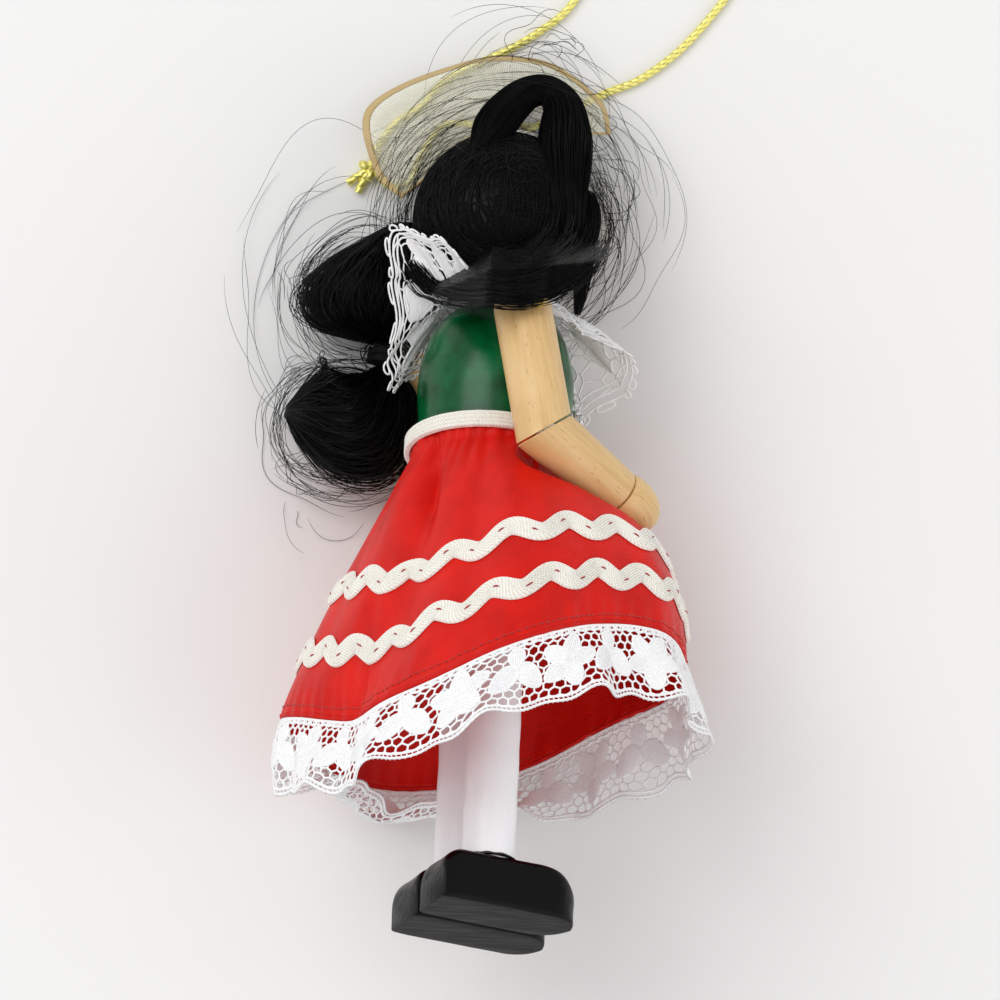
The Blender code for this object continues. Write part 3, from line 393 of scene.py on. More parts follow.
def lathe(name, outline, segments):
    """A closed mesh turned round z from an outline of (radius, height) in millimetres, bottom first."""
    points = [(0, 0, outline[0][1] * MM)]
    faces = []
    for radius, height in outline[1:-1]:
        for step in range(segments):
            turn = 2 * pi * step / segments
            points.append((radius * MM * cos(turn), radius * MM * sin(turn), height * MM))
    points.append((0, 0, outline[-1][1] * MM))
    rings = len(outline) - 2
    for step in range(segments):
        after = (step + 1) % segments
        faces.append((0, 1 + after, 1 + step))
        for ring in range(rings - 1):
            low = 1 + ring * segments
            high = low + segments
            faces.append((low + step, low + after, high + after, high + step))
        top = 1 + (rings - 1) * segments
        faces.append((top + step, top + after, len(points) - 1))
    return mesh_from(name, points, faces, 40)


def rounded_end(radius, tip, way, edge):
    """Outline points of a rod's end whose rim is rounded; way is 1 for the top end, -1 for the bottom."""
    steps = 5
    corner = [
        (
            radius - edge + edge * sin(pi / 2 * step / steps),
            tip - way * edge * (1 - cos(pi / 2 * step / steps)),
        )
        for step in range(steps + 1)
    ]
    return corner[::-1] if way > 0 else corner


def aim(mesh, start, direction):
    """Turns a mesh made along +z to the direction and moves it to the start."""
    turn = Vector(direction).to_track_quat("Z", "Y").to_matrix().to_4x4()
    mesh.transform(Matrix.Translation(Vector(start) * MM) @ turn)
    return mesh


LAY_ON_FLOOR = Matrix.Translation(DOLL_ORIGIN) @ LAY_DOWN.to_4x4()


def lay(mesh):
    """Lays a mesh of the standing doll on the floor with the rest of it."""
    mesh.transform(LAY_ON_FLOOR)
    return mesh


def drilled(mesh, holes):
    """The mesh with round holes: each a start, a direction, a radius and a depth, in millimetres."""
    block = bpy.data.objects.new("block", mesh)
    bpy.context.scene.collection.objects.link(block)
    drills = []
    for start, direction, radius, depth in holes:
        bit = aim(lathe("drill", [(0, 0), (radius, 0), (radius, depth), (0, depth)], 48), start, direction)
        drill = bpy.data.objects.new("drill", bit)
        bpy.context.scene.collection.objects.link(drill)
        drills.append(drill)
        hole = block.modifiers.new("hole", "BOOLEAN")
        hole.operation = "DIFFERENCE"
        hole.object = drill
    made = settle(block)
    for spare in (block, *drills):
        bpy.data.objects.remove(spare)
    made.shade_smooth()
    made.set_sharp_from_angle(angle=radians(35))
    return made


HIP_BOTTOM = 58.0
TORSO_TOP = 98.0
CHEST_HEIGHT = 84.5
CHEST_RADIUS = 11.7
LEG_SPACING = 10.0
LEG_DIAMETER = 7.9
HIP_SOCKET = 7.0
NECK_DIAMETER = 6.0
NECK_SEAT = 5.5
GAP = 0.3
torso_outline = [(0, HIP_BOTTOM)]
torso_outline += [
    tuple(point)
    for point in through(
        [
            (9.6, HIP_BOTTOM),
            (10.6, HIP_BOTTOM + 2.0),
            (11.0, 74.0),
            (CHEST_RADIUS, CHEST_HEIGHT),
            (CHEST_RADIUS * 0.945, CHEST_HEIGHT + 4.8),
            (CHEST_RADIUS * 0.83, CHEST_HEIGHT + 8.8),
            (CHEST_RADIUS * 0.58, TORSO_TOP - 1.4),
            (CHEST_RADIUS * 0.36, TORSO_TOP),
        ],
        7,
    )
]
neck_floor = TORSO_TOP - NECK_SEAT - GAP
torso_outline += [
    (NECK_DIAMETER / 2 + GAP, TORSO_TOP), (NECK_DIAMETER / 2 + GAP, neck_floor), (0, neck_floor)
]
PIN_DIAMETER = 1.3
PIN_BORE_START = 5.2
PIN_BORE_DEPTH = 9
torso_holes = []
for side in (1, -1):
    hip = (0, side * LEG_SPACING / 2, HIP_BOTTOM - 1)
    torso_holes.append((hip, (0, 0, 1), LEG_DIAMETER / 2 + GAP, HIP_SOCKET + 1))
for side in (1, -1):
    bore = (SHOULDER.x, side * PIN_BORE_START, SHOULDER.z)
    torso_holes.append((bore, (0, side, 0), PIN_DIAMETER / 2 + GAP, PIN_BORE_DEPTH))
torso_mesh = drilled(lathe("torso_block", torso_outline, 96), torso_holes)


def mottled(name, scale, detail, dark, pale, relief=None, **sockets):
    """A finish whose colour wanders between two stops of a cloud pattern; relief is the strength
    and the depth in metres of that pattern's bumps."""
    made, tree, shader = start_finish(name, **sockets)
    place = add(tree, "ShaderNodeTexCoord")
    cloud = add(
        tree, "ShaderNodeTexNoise", {"Vector": place.outputs["Object"], "Scale": scale, "Detail": detail}
    )
    shade = add(tree, "ShaderNodeValToRGB", {"Fac": cloud.outputs["Fac"]}, stops=(dark, pale))
    tree.links.new(shade.outputs["Color"], shader.inputs["Base Color"])
    if relief:
        values = {"Height": cloud.outputs["Fac"], "Strength": relief[0], "Distance": relief[1]}
        tree.links.new(add(tree, "ShaderNodeBump", values).outputs["Normal"], shader.inputs["Normal"])
    return made


# Gloss alkyd enamel: bottle green, with the long shallow waves of a dipped coat.
green_enamel = mottled(
    "gloss_green_enamel",
    190.0,
    3.0,
    (0.35, "#003c18"),
    (0.70, "#016535"),
    (0.25, 0.0004),
    Roughness=0.24,
    Specular_IOR_Level=0.32,
)
torso = new_piece("torso_turned", lay(torso_mesh), green_enamel)
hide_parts("torso")

# Legs: 7.9 mm hardwood dowels painted white, their ends broken a little with sandpaper, glued
# into sockets in the torso and the shoes.
SHOE_HEIGHT = 8.0
SHOE_SOCKET = 4.5
LEG_WAVE = 0.05         # how uneven the sanded dowel is
leg_low = SHOE_HEIGHT - SHOE_SOCKET + GAP
leg_high = HIP_BOTTOM + HIP_SOCKET - GAP
SIDES = (("right", 1), ("left", -1))

# White gloss enamel on close wood: nearly even, with faint brush lines along the dowel.
white_enamel, tree, shader = start_finish("white_enamel", Roughness=0.28, Coat_Weight=0.2, Coat_Roughness=0.1)
place = add(tree, "ShaderNodeTexCoord")
stretch = add(
    tree,
    "ShaderNodeMapping",
    {"Vector": place.outputs["Object"], "Scale": (2600.0, 90.0, 2600.0)},
)
brush = add(tree, "ShaderNodeTexNoise", {"Vector": stretch.outputs["Vector"], "Scale": 1.0, "Detail": 2.0})
chalk = add(
    tree, "ShaderNodeValToRGB", {"Fac": brush.outputs["Fac"]}, stops=((0.3, "#f9f9fb"), (0.7, "#fdfdfe"))
)
brush_bump = add(
    tree, "ShaderNodeBump", {"Height": brush.outputs["Fac"], "Strength": 0.05, "Distance": 0.00003}
)
feed(tree, shader, Base_Color=chalk.outputs["Color"], Normal=brush_bump.outputs["Normal"])
for side, sign in SIDES:
    radius = LEG_DIAMETER / 2
    outline = [(0, leg_low)] + rounded_end(radius, leg_low, -1, 0.3)
    outline += [(radius + LEG_WAVE * sin(0.9 * z), z) for z in range(6, 64, 2)]
    outline += rounded_end(radius, leg_high, 1, 0.3) + [(0, leg_high)]
    mesh = lathe(side + "_leg_dowel", outline, 64)
    mesh.transform(Matrix.Translation((0, -sign * LEG_SPACING / 2 * MM, 0)))
    leg = new_piece(side + "_leg_dowel", lay(mesh), white_enamel)
    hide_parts(side + "_leg")

# Shoes: sawn blocks, sanded to a round heel edge and a round sloping toe, painted gloss black;
# the black turns paler along the soles, partly wear and partly a painted highlight on the lower edge, and the
# paint stands in a small ragged rim round each leg.
SHOE_LENGTH = 22.6
SHOE_WIDTH = 9.6
SHOE_HEEL = 8.8
HEEL_ROUND = 3.2
HEEL_TAPER = 0.5
TOE_ROUND = 7.4
TOE_LIP = 2.6           # height of the toe's blunt tip
SHOE_EDGE = 1.4
SOLE_EDGE = 0.5
# Up to this height above the sole the paint is paler: partly wear, partly a painted highlight.
WEAR_AND_HIGHLIGHT_HEIGHT = 0.9       # how far up from the sole the paint is worn
noise.seed_set(5)       # noise_vector's places would else differ from run to run


def shoe_section(x, half, height):
    """Right half of one cross-section, from the sole's middle to the top's middle."""
    sole = min(SOLE_EDGE, half / 2)
    edge = min(SHOE_EDGE, half * 0.8, height / 2)
    line = [(half * 0.5 * step, 0) for step in range(2)]
    for step in range(5):
        turn = pi / 2 * step / 4
        line.append((half - sole + sole * sin(turn), sole - sole * cos(turn)))
    line += [(half, sole + (height - edge - sole) * step / 5) for step in range(1, 5)]
    for step in range(9):
        turn = pi / 2 * step / 8
        line.append((half - edge + edge * cos(turn), height - edge + edge * sin(turn)))
    line += [((half - edge) * (1 - step / 4), height) for step in range(1, 5)]
    return [(x, y, z) for y, z in line]


def facing_out(mesh):
    """The mesh with all its faces turned outward."""
    built = bmesh.new()
    built.from_mesh(mesh)
    bmesh.ops.recalc_face_normals(built, faces=built.faces)
    built.to_mesh(mesh)
    built.free()
    return mesh


def shoe_block(name, across, seed):
    """Square heel with a rounded top edge, straight sides and a toe that slopes down, hand-sanded."""
    half = SHOE_WIDTH / 2
    toe_tip = SHOE_LENGTH - SHOE_HEEL
    sections = []
    for step in range(13):
        turn = pi / 2 * step / 12
        x = -SHOE_HEEL + HEEL_ROUND * (1 - cos(turn))
        drop = 1 - sin(turn)
        sections.append(shoe_section(x, half - HEEL_TAPER * drop, SHOE_HEIGHT - HEEL_ROUND * drop))
    for step in range(1, 6):
        x = -SHOE_HEEL + HEEL_ROUND + (toe_tip - TOE_ROUND + SHOE_HEEL - HEEL_ROUND) * step / 6
        sections.append(shoe_section(x, half, SHOE_HEIGHT))
    for step in range(29):
        x = toe_tip - TOE_ROUND * (1 - sin(pi / 2 * step / 28 * 0.985))
        round_part = max((x - toe_tip + half) / half, 0)
        drop = 1 - (1 - (1 - (toe_tip - x) / TOE_ROUND) ** 2) ** 0.5
        height = SHOE_HEIGHT - (SHOE_HEIGHT - TOE_LIP) * drop
        sections.append(shoe_section(x, half * max(1 - round_part**2, 0) ** 0.5, height))
    whole = [section + [(x, -y, z) for x, y, z in section[-2:0:-1]] for section in sections]
    count = len(whole[0])
    points = []
    for section in whole:
        for x, y, z in section:
            soft = noise.noise_vector(Vector((x * 0.22 + seed, y * 0.3, z * 0.3))) * 0.16
            points.append(((x + soft.x) * MM, (y + soft.y) * MM, (z + (soft.z if z > 0.6 else 0)) * MM))
    mesh = facing_out(mesh_from(name, points, tube_faces(len(whole), count)))
    socket = (0, 0, SHOE_HEIGHT - SHOE_SOCKET)
    mesh = drilled(mesh, [(socket, (0, 0, 1), LEG_DIAMETER / 2 + GAP, SHOE_SOCKET + 1)])
    # Paler band along the sole: partly wear and partly a painted highlight on the lower edge.
    sole_wear_and_highlight = [min(max(1 - point.co.z / (WEAR_AND_HIGHLIGHT_HEIGHT * MM), 0), 1) for point in mesh.vertices]
    mesh.attributes.new("sole_wear_and_highlight", "FLOAT", "POINT").data.foreach_set("value", sole_wear_and_highlight)
    mesh.transform(Matrix.Translation((0, across * MM, 0)))
    return mesh


# Black gloss enamel: near black with long brush ridges, paler near the sole, partly wear and partly a painted
# highlight along the lower edge.
black_enamel, tree, shader = start_finish("black_gloss_enamel", Specular_IOR_Level=0.16)
place = add(tree, "ShaderNodeTexCoord")
stretch = add(tree, "ShaderNodeMapping", {"Vector": place.outputs["Object"], "Scale": (160.0, 900.0, 900.0)})
ridges = add(tree, "ShaderNodeTexNoise", {"Vector": stretch.outputs["Vector"], "Scale": 1.0, "Detail": 4.0})
worn_and_lit = add(tree, "ShaderNodeAttribute", attribute_name="sole_wear_and_highlight")
rubbed_and_lit = add(
    tree, "ShaderNodeMath", {0: worn_and_lit.outputs["Fac"], 1: ridges.outputs["Fac"]}, operation="MULTIPLY"
)
# Painted highlight and wear: the lower edge of each shoe is coloured a paler grey.
grey_wear_and_highlight = add(
    tree, "ShaderNodeValToRGB", {"Fac": rubbed_and_lit.outputs["Value"]}, stops=((0.25, "#020202"), (0.75, "#121314"))
)
dulled = add(
    tree, "ShaderNodeMapRange", {"Value": rubbed_and_lit.outputs["Value"], "To Min": 0.3, "To Max": 0.7}
)
ridge_bump = add(
    tree, "ShaderNodeBump", {"Height": ridges.outputs["Fac"], "Strength": 0.5, "Distance": 0.0002}
)
feed(
    tree,
    shader,
    Base_Color=grey_wear_and_highlight.outputs["Color"],
    Roughness=dulled.outputs["Result"],
    Normal=ridge_bump.outputs["Normal"],
)
RIM_PROFILE = ((0.03, 0.0), (0.05, 0.45), (0.22, 0.62), (0.45, 0.42), (0.8, 0.04), (0.5, -0.15))
for side, sign in SIDES:
    across = -sign * LEG_SPACING / 2
    block = shoe_block(side + "_shoe_block", across, 5 * sign)
    shoe = new_piece(side + "_shoe_block", lay(block), black_enamel)
    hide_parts(side + "_shoe")
    rim_points = []
    rim_faces = []
    around = 60
    for step in range(around):
        turn = 2 * pi * step / around
        swell = 0.75 + 0.35 * noise.noise(Vector((3 * cos(turn) + 7 * sign, 3 * sin(turn), 0)))
        for out, rise in RIM_PROFILE:
            radius = LEG_DIAMETER / 2 + out * swell + 0.02
            rim_points.append(
                on_doll(radius * cos(turn), across + radius * sin(turn), SHOE_HEIGHT + rise * swell)
            )
        here = step * len(RIM_PROFILE)
        there = (step + 1) % around * len(RIM_PROFILE)
        for corner in range(len(RIM_PROFILE)):
            after = (corner + 1) % len(RIM_PROFILE)
            rim_faces.append((here + corner, here + after, there + after, there + corner))
    rim_mesh = mesh_from(side + "_paint_rim", rim_points, rim_faces)
    rim = new_piece(side + "_shoe_paint_rim", rim_mesh, black_enamel)

# Arms: 8.7 mm dowel, mitred and glued at the elbow, with a rounded peg for a hand. Each arm
# turns on a brass pin through its rounded shoulder.
UPPER_ARM_DIAMETER = 8.7
ELBOW = Vector((-0.4, -19.2, 72.0))
HAND = Vector((17.6, -13.2, 65.2))
FOREARM_LENGTH = 16.4
HAND_LENGTH = 7.8
HAND_DIAMETER = 8.0
WRIST_DIAMETER = 7.3
WRIST_SWELL = 2.2       # from the wrist's groove to the widest place of the hand
SEAM = 0.25             # glue seam at the elbow and the wrist
RUNNING = 0.3           # clearance round the pin and under its head
PIN_DEPTH = 5.0
PIN_HEAD_DIAMETER = 2.8
PIN_HEAD_HEIGHT = 0.7

# Pale beech under a thin clear coat: straight grain along the dowel, small darker flecks.
beech, tree, shader = start_finish(
    "clear_coated_beech", Roughness=0.42, Coat_Weight=0.18, Coat_Roughness=0.2
)
place = add(tree, "ShaderNodeUVMap", uv_map="grain")
stretch = add(tree, "ShaderNodeMapping", {"Vector": place.outputs["UV"], "Scale": (1400.0, 60.0, 1.0)})
grain = add(
    tree,
    "ShaderNodeTexNoise",
    {"Vector": stretch.outputs["Vector"], "Scale": 1.0, "Detail": 5.0, "Roughness": 0.6},
)
clouds_place = add(tree, "ShaderNodeMapping", {"Vector": place.outputs["UV"], "Scale": (150.0, 70.0, 1.0)})
clouds = add(
    tree, "ShaderNodeTexNoise", {"Vector": clouds_place.outputs["Vector"], "Scale": 1.0, "Detail": 3.0}
)
mixed = add(
    tree, "ShaderNodeMath", {0: grain.outputs["Fac"], 1: clouds.outputs["Fac"]}, operation="ADD"
)
halved = add(tree, "ShaderNodeMath", {0: mixed.outputs["Value"], 1: 0.5}, operation="MULTIPLY")
timber = add(
    tree,
    "ShaderNodeValToRGB",
    {"Fac": halved.outputs["Value"]},
    stops=((0.28, "#c39a5e"), (0.72, "#eccd96"), (0.5, "#dfb87c")),
)
fleck_place = add(tree, "ShaderNodeMapping", {"Vector": place.outputs["UV"], "Scale": (2600.0, 420.0, 1.0)})
flecks = add(tree, "ShaderNodeTexVoronoi", {"Vector": fleck_place.outputs["Vector"], "Scale": 1.0})
fleck = add(
    tree, "ShaderNodeMapRange", {"Value": flecks.outputs["Distance"], "From Min": 0.05, "From Max": 0.22}
)
wood_tone = add(
    tree,
    "ShaderNodeMix",
    {"Factor": fleck.outputs["Result"], "A": tone("#b58a52"), "B": timber.outputs["Color"]},
    data_type="RGBA",
)
grain_bump = add(
    tree, "ShaderNodeBump", {"Height": grain.outputs["Fac"], "Strength": 0.25, "Distance": 0.00008}
)
feed(tree, shader, Base_Color=wood_tone.outputs["Result"], Normal=grain_bump.outputs["Normal"])

# Bright drawn brass: smooth wire with a little brown tarnish.
brass = mottled(
    "drawn_brass", 900.0, 3.0, (0.0, "#b08d3e"), (1.0, "#dfc06c"), Metallic=1.0, Roughness=0.26
)


def grain_map(mesh, start, direction):
    """A UV map along and round a turned piece, in metres, whose grain follows its axis."""
    ahead = Vector(direction).normalized()
    side = ahead.orthogonal().normalized()
    other = ahead.cross(side)
    layer = mesh.uv_layers.new(name="grain")
    for face in mesh.polygons:
        for corner in face.loop_indices:
            from_start = mesh.vertices[mesh.loops[corner].vertex_index].co - Vector(start) * MM
            across = from_start.dot(side)
            deep = from_start.dot(other)
            layer.data[corner].uv = (across + 0.6 * deep, from_start.dot(ahead) + 0.15 * deep)
    return mesh


def mitred(mesh, planes):
    """The mesh cut off by planes, its new edges sanded a little."""
    built = bmesh.new()
    built.from_mesh(mesh)
    for point, normal in planes:
        everything = built.verts[:] + built.edges[:] + built.faces[:]
        made = bmesh.ops.bisect_plane(
            built, geom=everything, plane_co=Vector(point) * MM, plane_no=normal, clear_outer=True, dist=1e-7
        )
        rim = [part for part in made["geom_cut"] if isinstance(part, bmesh.types.BMEdge)]
        filled = bmesh.ops.holes_fill(built, edges=rim, sides=0)["faces"]
        sharp = [edge for face in filled for edge in face.edges]
        bmesh.ops.bevel(built, geom=sharp, offset=0.22 * MM, segments=3, profile=0.5, affect="EDGES")
    bmesh.ops.recalc_face_normals(built, faces=built.faces)
    built.to_mesh(mesh)
    built.free()
    mesh.shade_smooth()
    mesh.set_sharp_from_angle(angle=radians(35))
    return mesh


def mirrored(point, sign):
    """A point of the right side, or its twin on the left."""
    return Vector((point.x, point.y * sign, point.z))


def ball_end(radius, length, steps, start=0.0):
    """Outline points of a rod's domed end, from below its rim to just short of its tip."""
    return [
        (radius * cos(pi / 2 * step / steps), start + length * sin(pi / 2 * step / steps))
        for step in range(1, steps)
    ]


for side, sign in SIDES:
    body = side + "_arm"
    shoulder = mirrored(SHOULDER, sign)
    elbow = mirrored(ELBOW, sign)
    hand = mirrored(HAND, sign)
    down = (elbow - shoulder).normalized()
    forward = (hand - elbow).normalized()
    mitre = (down + forward).normalized()
    wrist = elbow + forward * FOREARM_LENGTH
    radius = UPPER_ARM_DIAMETER / 2
    lean = abs(down.y / down.z)
    arm_outside = abs(shoulder.y) + radius * (1 + lean**2) ** 0.5 + PIN_HEAD_DIAMETER / 2 * lean

    reach = (elbow - shoulder).length + UPPER_ARM_DIAMETER
    outline = [(0, -radius)] + [(r, -rise) for r, rise in reversed(ball_end(radius, radius, 14))]
    outline += [(radius, reach * step / 8) for step in range(9)] + [(0, reach)]
    dowel = aim(lathe(body + "_upper", outline, 72), shoulder, down)
    mesh = mitred(dowel, [(elbow - mitre * SEAM / 2, mitre)])
    bore_start = Vector((shoulder.x, 0, shoulder.z))
    mesh = drilled(mesh, [(bore_start, (0, -sign, 0), PIN_DIAMETER / 2 + RUNNING, arm_outside * 2)])
    upper = new_piece(side + "_upper_arm_dowel", lay(grain_map(mesh, shoulder, down)), beech, body)
    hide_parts(side + "_upper_arm")

    outline = [(0, -UPPER_ARM_DIAMETER), (radius, -UPPER_ARM_DIAMETER)]
    outline += [
        (radius + (WRIST_DIAMETER / 2 - radius) * step / 8, (FOREARM_LENGTH + 2) * step / 8)
        for step in range(9)
    ]
    outline += [(0, FOREARM_LENGTH + 2)]
    mesh = mitred(
        aim(lathe(body + "_fore", outline, 72), elbow, forward),
        [(elbow + mitre * SEAM / 2, -mitre), (wrist - forward * SEAM / 2, forward)],
    )
    lower = new_piece(side + "_forearm_dowel", lay(grain_map(mesh, elbow, forward)), beech, body)
    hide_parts(side + "_forearm")

    palm = HAND_DIAMETER / 2
    base = FOREARM_LENGTH + SEAM / 2
    swell = base + WRIST_SWELL
    outline = [(0, base)] + rounded_end(palm * 0.93, base, -1, 0.35)
    outline += [(palm * 0.985, base + 0.9), (palm, swell)]
    outline += ball_end(palm, HAND_LENGTH - WRIST_SWELL, 16, swell) + [(0, base + HAND_LENGTH)]
    mesh = aim(lathe(body + "_hand", outline, 72), elbow, forward)
    peg = new_piece(side + "_hand_peg", lay(grain_map(mesh, elbow, forward)), beech, body)
    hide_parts(side + "_hand")

    pin_start = arm_outside - PIN_DEPTH - UPPER_ARM_DIAMETER
    head_start = arm_outside + RUNNING
    shaft = PIN_DIAMETER / 2
    cap = PIN_HEAD_DIAMETER / 2
    outline = [(0, pin_start), (shaft, pin_start), (shaft, head_start), (cap, head_start)]
    outline += ball_end(cap, PIN_HEAD_HEIGHT, 8, head_start) + [(0, head_start + PIN_HEAD_HEIGHT)]
    mesh = aim(lathe(side + "_pin", outline, 40), bore_start, (0, -sign, 0))
    pin = new_piece(side + "_brass_pin", lay(mesh), brass)
    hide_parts(side + "_shoulder_pin")

# Screw eye: brass wire bent into a ring whose end almost meets the shank, screwed into the
# crown of the head. The hanging cord runs through it.
EYE_RADIUS = 2.0
EYE_WIRE = 0.9
EYE_SHANK_TIP = 118.5


def wire(name, line, radius, finish, around=14):
    """A round wire along the line, its ends closed."""
    points = []
    for place, (side, other) in zip(line, frames_along(line)):
        for step in range(around):
            turn = 2 * pi * step / around
            points.append(place + (side * cos(turn) + other * sin(turn)) * radius)
    return new_piece(name, mesh_from(name, points, tube_faces(len(line), around)), finish)


EYE_START = -62         # degrees round the ring where the shank meets it
EYE_TURN = 328          # degrees of ring, so that a small gap is left
EYE_NECK = 125.2
eye_line = []
for step in range(56):
    turn = radians(EYE_START + EYE_TURN * step / 55)
    across = Vector((-sin(ROLL), -cos(ROLL), 0))
    spot = Vector(EYE) + across * EYE_RADIUS * cos(turn) + Vector((0, 0, 1)) * EYE_RADIUS * sin(turn)
    eye_line.append(on_doll(*spot))
eye_line = through([on_doll(0, 0, EYE_SHANK_TIP), on_doll(0, 0, EYE_NECK)] + eye_line[::-1], 3)
screw_eye = wire("screw_eye_wire", eye_line, EYE_WIRE / 2 * MM, brass)
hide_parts("screw_eye")


# Skirt: one flared piece of red satin, turned in and machine-sewn at the hem, glued round the
# waist. It hangs in the folds it was packed in, with a hollow where each hand lies on it.
CLOTH = 0.5
SKIRT_TOP = 75.6
SKIRT_TOP_RADIUS = 11.9
HEM_RADIUS = 29.6
HEM_HEIGHT = 34.6
BRAID_HEIGHT = 2.5
BRAID_THICKNESS = 0.8
BRAID_RIDGES = 4
BAND_SWAY = 0.55
CLOTH_EASE = 1.1
CLOTH_FLARE = 3.0
ARM_STEPS = 16          # places along each part of an arm that the cloth keeps clear of
FLARE_START = (BRAID_HEIGHT + BAND_SWAY) / (SKIRT_TOP - HEM_HEIGHT)
FOLD_TURN = radians(24)
BACK_VALLEY = radians(-162)
BACK_VALLEY_DRIFT = radians(17)
SIDE_FOLD = radians(-118)
TRIM_THICKNESS = 0.7
TRIM_STAND = CLOTH / 2 + GAP + TRIM_THICKNESS / 2
SKIRT_REST = TRIM_STAND + TRIM_THICKNESS / 2 + 0.1
REST_DEPTH = HEAD_CENTRE * sin(INCLINE) + HAIR_RADIUS
UP_ON_DOLL = LAY_DOWN.transposed() @ Vector((0, 0, 1))


def bump(angle, middle, width):
    """A soft rise of 1 round one angle."""
    off = atan2(sin(angle - middle), cos(angle - middle))
    return exp(-((off / width) ** 2))


def lifted(point, height):
    """The point of the doll, moved straight up where it would lie lower than this above the floor."""
    missing = height - ((LAY_DOWN @ point).z + REST_DEPTH)
    return point if missing <= 0 else point + UP_ON_DOLL * missing


def waist_sway(angle):
    """How far the waist's line is off level at one angle."""
    return BAND_SWAY * cos(angle + FOLD_TURN + 2.1)


def arm_bones():
    """Start and reach of each arm's two straight parts, to the middle of the hand's round end."""
    for _, sign in SIDES:
        shoulder = mirrored(SHOULDER, sign)
        elbow = mirrored(ELBOW, sign)
        ahead = (mirrored(HAND, sign) - elbow).normalized()
        yield shoulder, elbow - shoulder
        yield elbow, ahead * (FOREARM_LENGTH + HAND_LENGTH - HAND_DIAMETER / 2)


ARM_BONES = list(arm_bones())
ARM_SPOTS = [start + bone * step / ARM_STEPS for start, bone in ARM_BONES for step in range(ARM_STEPS + 1)]
FAR_FROM_ARMS = 12.0    # above or below a place of an arm, where it no longer draws the cloth in


def clear_of_arms(point):
    """The point, pushed off the arms that lie on the cloth, then drawn in inside them."""
    hold = UPPER_ARM_DIAMETER / 2 + GAP + CLOTH / 2
    for start, bone in ARM_BONES:
        share = min(max((point - start).dot(bone) / bone.length_squared, 0), 1)
        off = point - (start + bone * share)
        clear = hold + CLOTH_EASE
        if off.length < clear:
            inward = Vector((-point.x, -point.y, 0)).normalized()
            way = (off.normalized() + inward).normalized()
            slope = off.dot(way)
            point = point + way * ((slope**2 + clear**2 - off.length_squared) ** 0.5 - slope)
    radius = hypot(point.x, point.y)
    out_x, out_y = point.x / radius, point.y / radius
    for spot in ARM_SPOTS:
        rise = spot.z - point.z
        along = spot.x * out_x + spot.y * out_y
        if along > 0 and abs(rise) < FAR_FROM_ARMS:
            aside = hypot(spot.x * out_y - spot.y * out_x, rise)
            room = -((hold**2 - aside**2) ** 0.5) if aside < hold else (aside - hold) * CLOTH_FLARE
            radius = min(radius, along + room)
    return Vector((out_x * radius, out_y * radius, point.z))


@cache
def skirt_point(angle, fall):
    """A point of the skirt's middle surface: fall runs from the waist 0 to the hem 1."""
    turn = angle + FOLD_TURN
    ease = min(max((fall - FLARE_START) / (1 - FLARE_START), 0.0), 1.0)
    hem_z = HEM_HEIGHT + 7.4 * cos(turn) + 1.4 * sin(turn)
    hem_z += 2.9 * cos(2 * turn + 0.61) + 1.7 * cos(3 * turn - 2.81)
    puff = 1.75 + 0.55 * cos(turn) + 0.45 * bump(angle, radians(4), 0.33)
    valley = BACK_VALLEY + BACK_VALLEY_DRIFT * sin(pi * fall)
    hem_r = HEM_RADIUS - 4.8 * bump(angle, valley, 0.33)
    hem_r += 1.0 * cos(3 * angle + 0.6) + 0.6 * cos(7 * angle)
    radius = SKIRT_TOP_RADIUS + (hem_r - SKIRT_TOP_RADIUS) * (1 - (1 - ease) ** puff)
    radius -= 1.6 * 4 * ease * (1 - ease) * bump(angle, SIDE_FOLD, 0.16)
    height = SKIRT_TOP + waist_sway(angle)
    height += (hem_z - height) * fall
    return clear_of_arms(Vector((radius * cos(angle), radius * sin(angle), height)))


def skirt_normal(angle, fall):
    """The outward direction of the skirt's middle surface."""
    step = 0.01
    along = skirt_point(angle + step, fall) - skirt_point(angle - step, fall)
    down = skirt_point(angle, min(fall + step, 1.0)) - skirt_point(angle, fall - step)
    return down.cross(along).normalized()


def crease(angle, fall):
    """How far small creases push the satin out, in millimetres."""
    ease = min(max((fall - FLARE_START) / (1 - FLARE_START), 0.0), 1.0)
    spot = Vector((5 * cos(angle), 5 * sin(angle), 2.2 * fall))
    soft = 0.55 * noise.noise(spot) * ease
    valley = BACK_VALLEY + BACK_VALLEY_DRIFT * sin(pi * fall)
    upper = exp(-(((fall - 0.24) / 0.17) ** 2))
    folds = upper * (1.1 * bump(angle, valley - 0.30, 0.16) - 2.4 * bump(angle, valley, 0.10))
    under_arm = radians(-92) + radians(26) * (fall - 0.15) / 0.2
    folds -= 0.8 * bump(angle, under_arm, 0.08) * exp(-(((fall - 0.25) / 0.1) ** 2))
    gathers = 0.20 * sin(38 * angle + 2 * sin(5 * angle)) * exp(-(((fall - 0.1) / 0.09) ** 2))
    drawn = 0.12 * sin(61 * angle + 3 * sin(4 * angle)) * max(fall - 0.86, 0) / 0.14
    pinch = -0.9 * bump(angle, radians(-160), 0.05) * max(fall - 0.45, 0) / 0.55
    return soft + folds + gathers + drawn + pinch


def satin_point(angle, fall, lift=0.0):
    """A point of the creased satin, this far off its middle surface."""
    point = skirt_point(angle, fall) + skirt_normal(angle, fall) * (crease(angle, fall) + lift)
    return lifted(point, SKIRT_REST + lift)


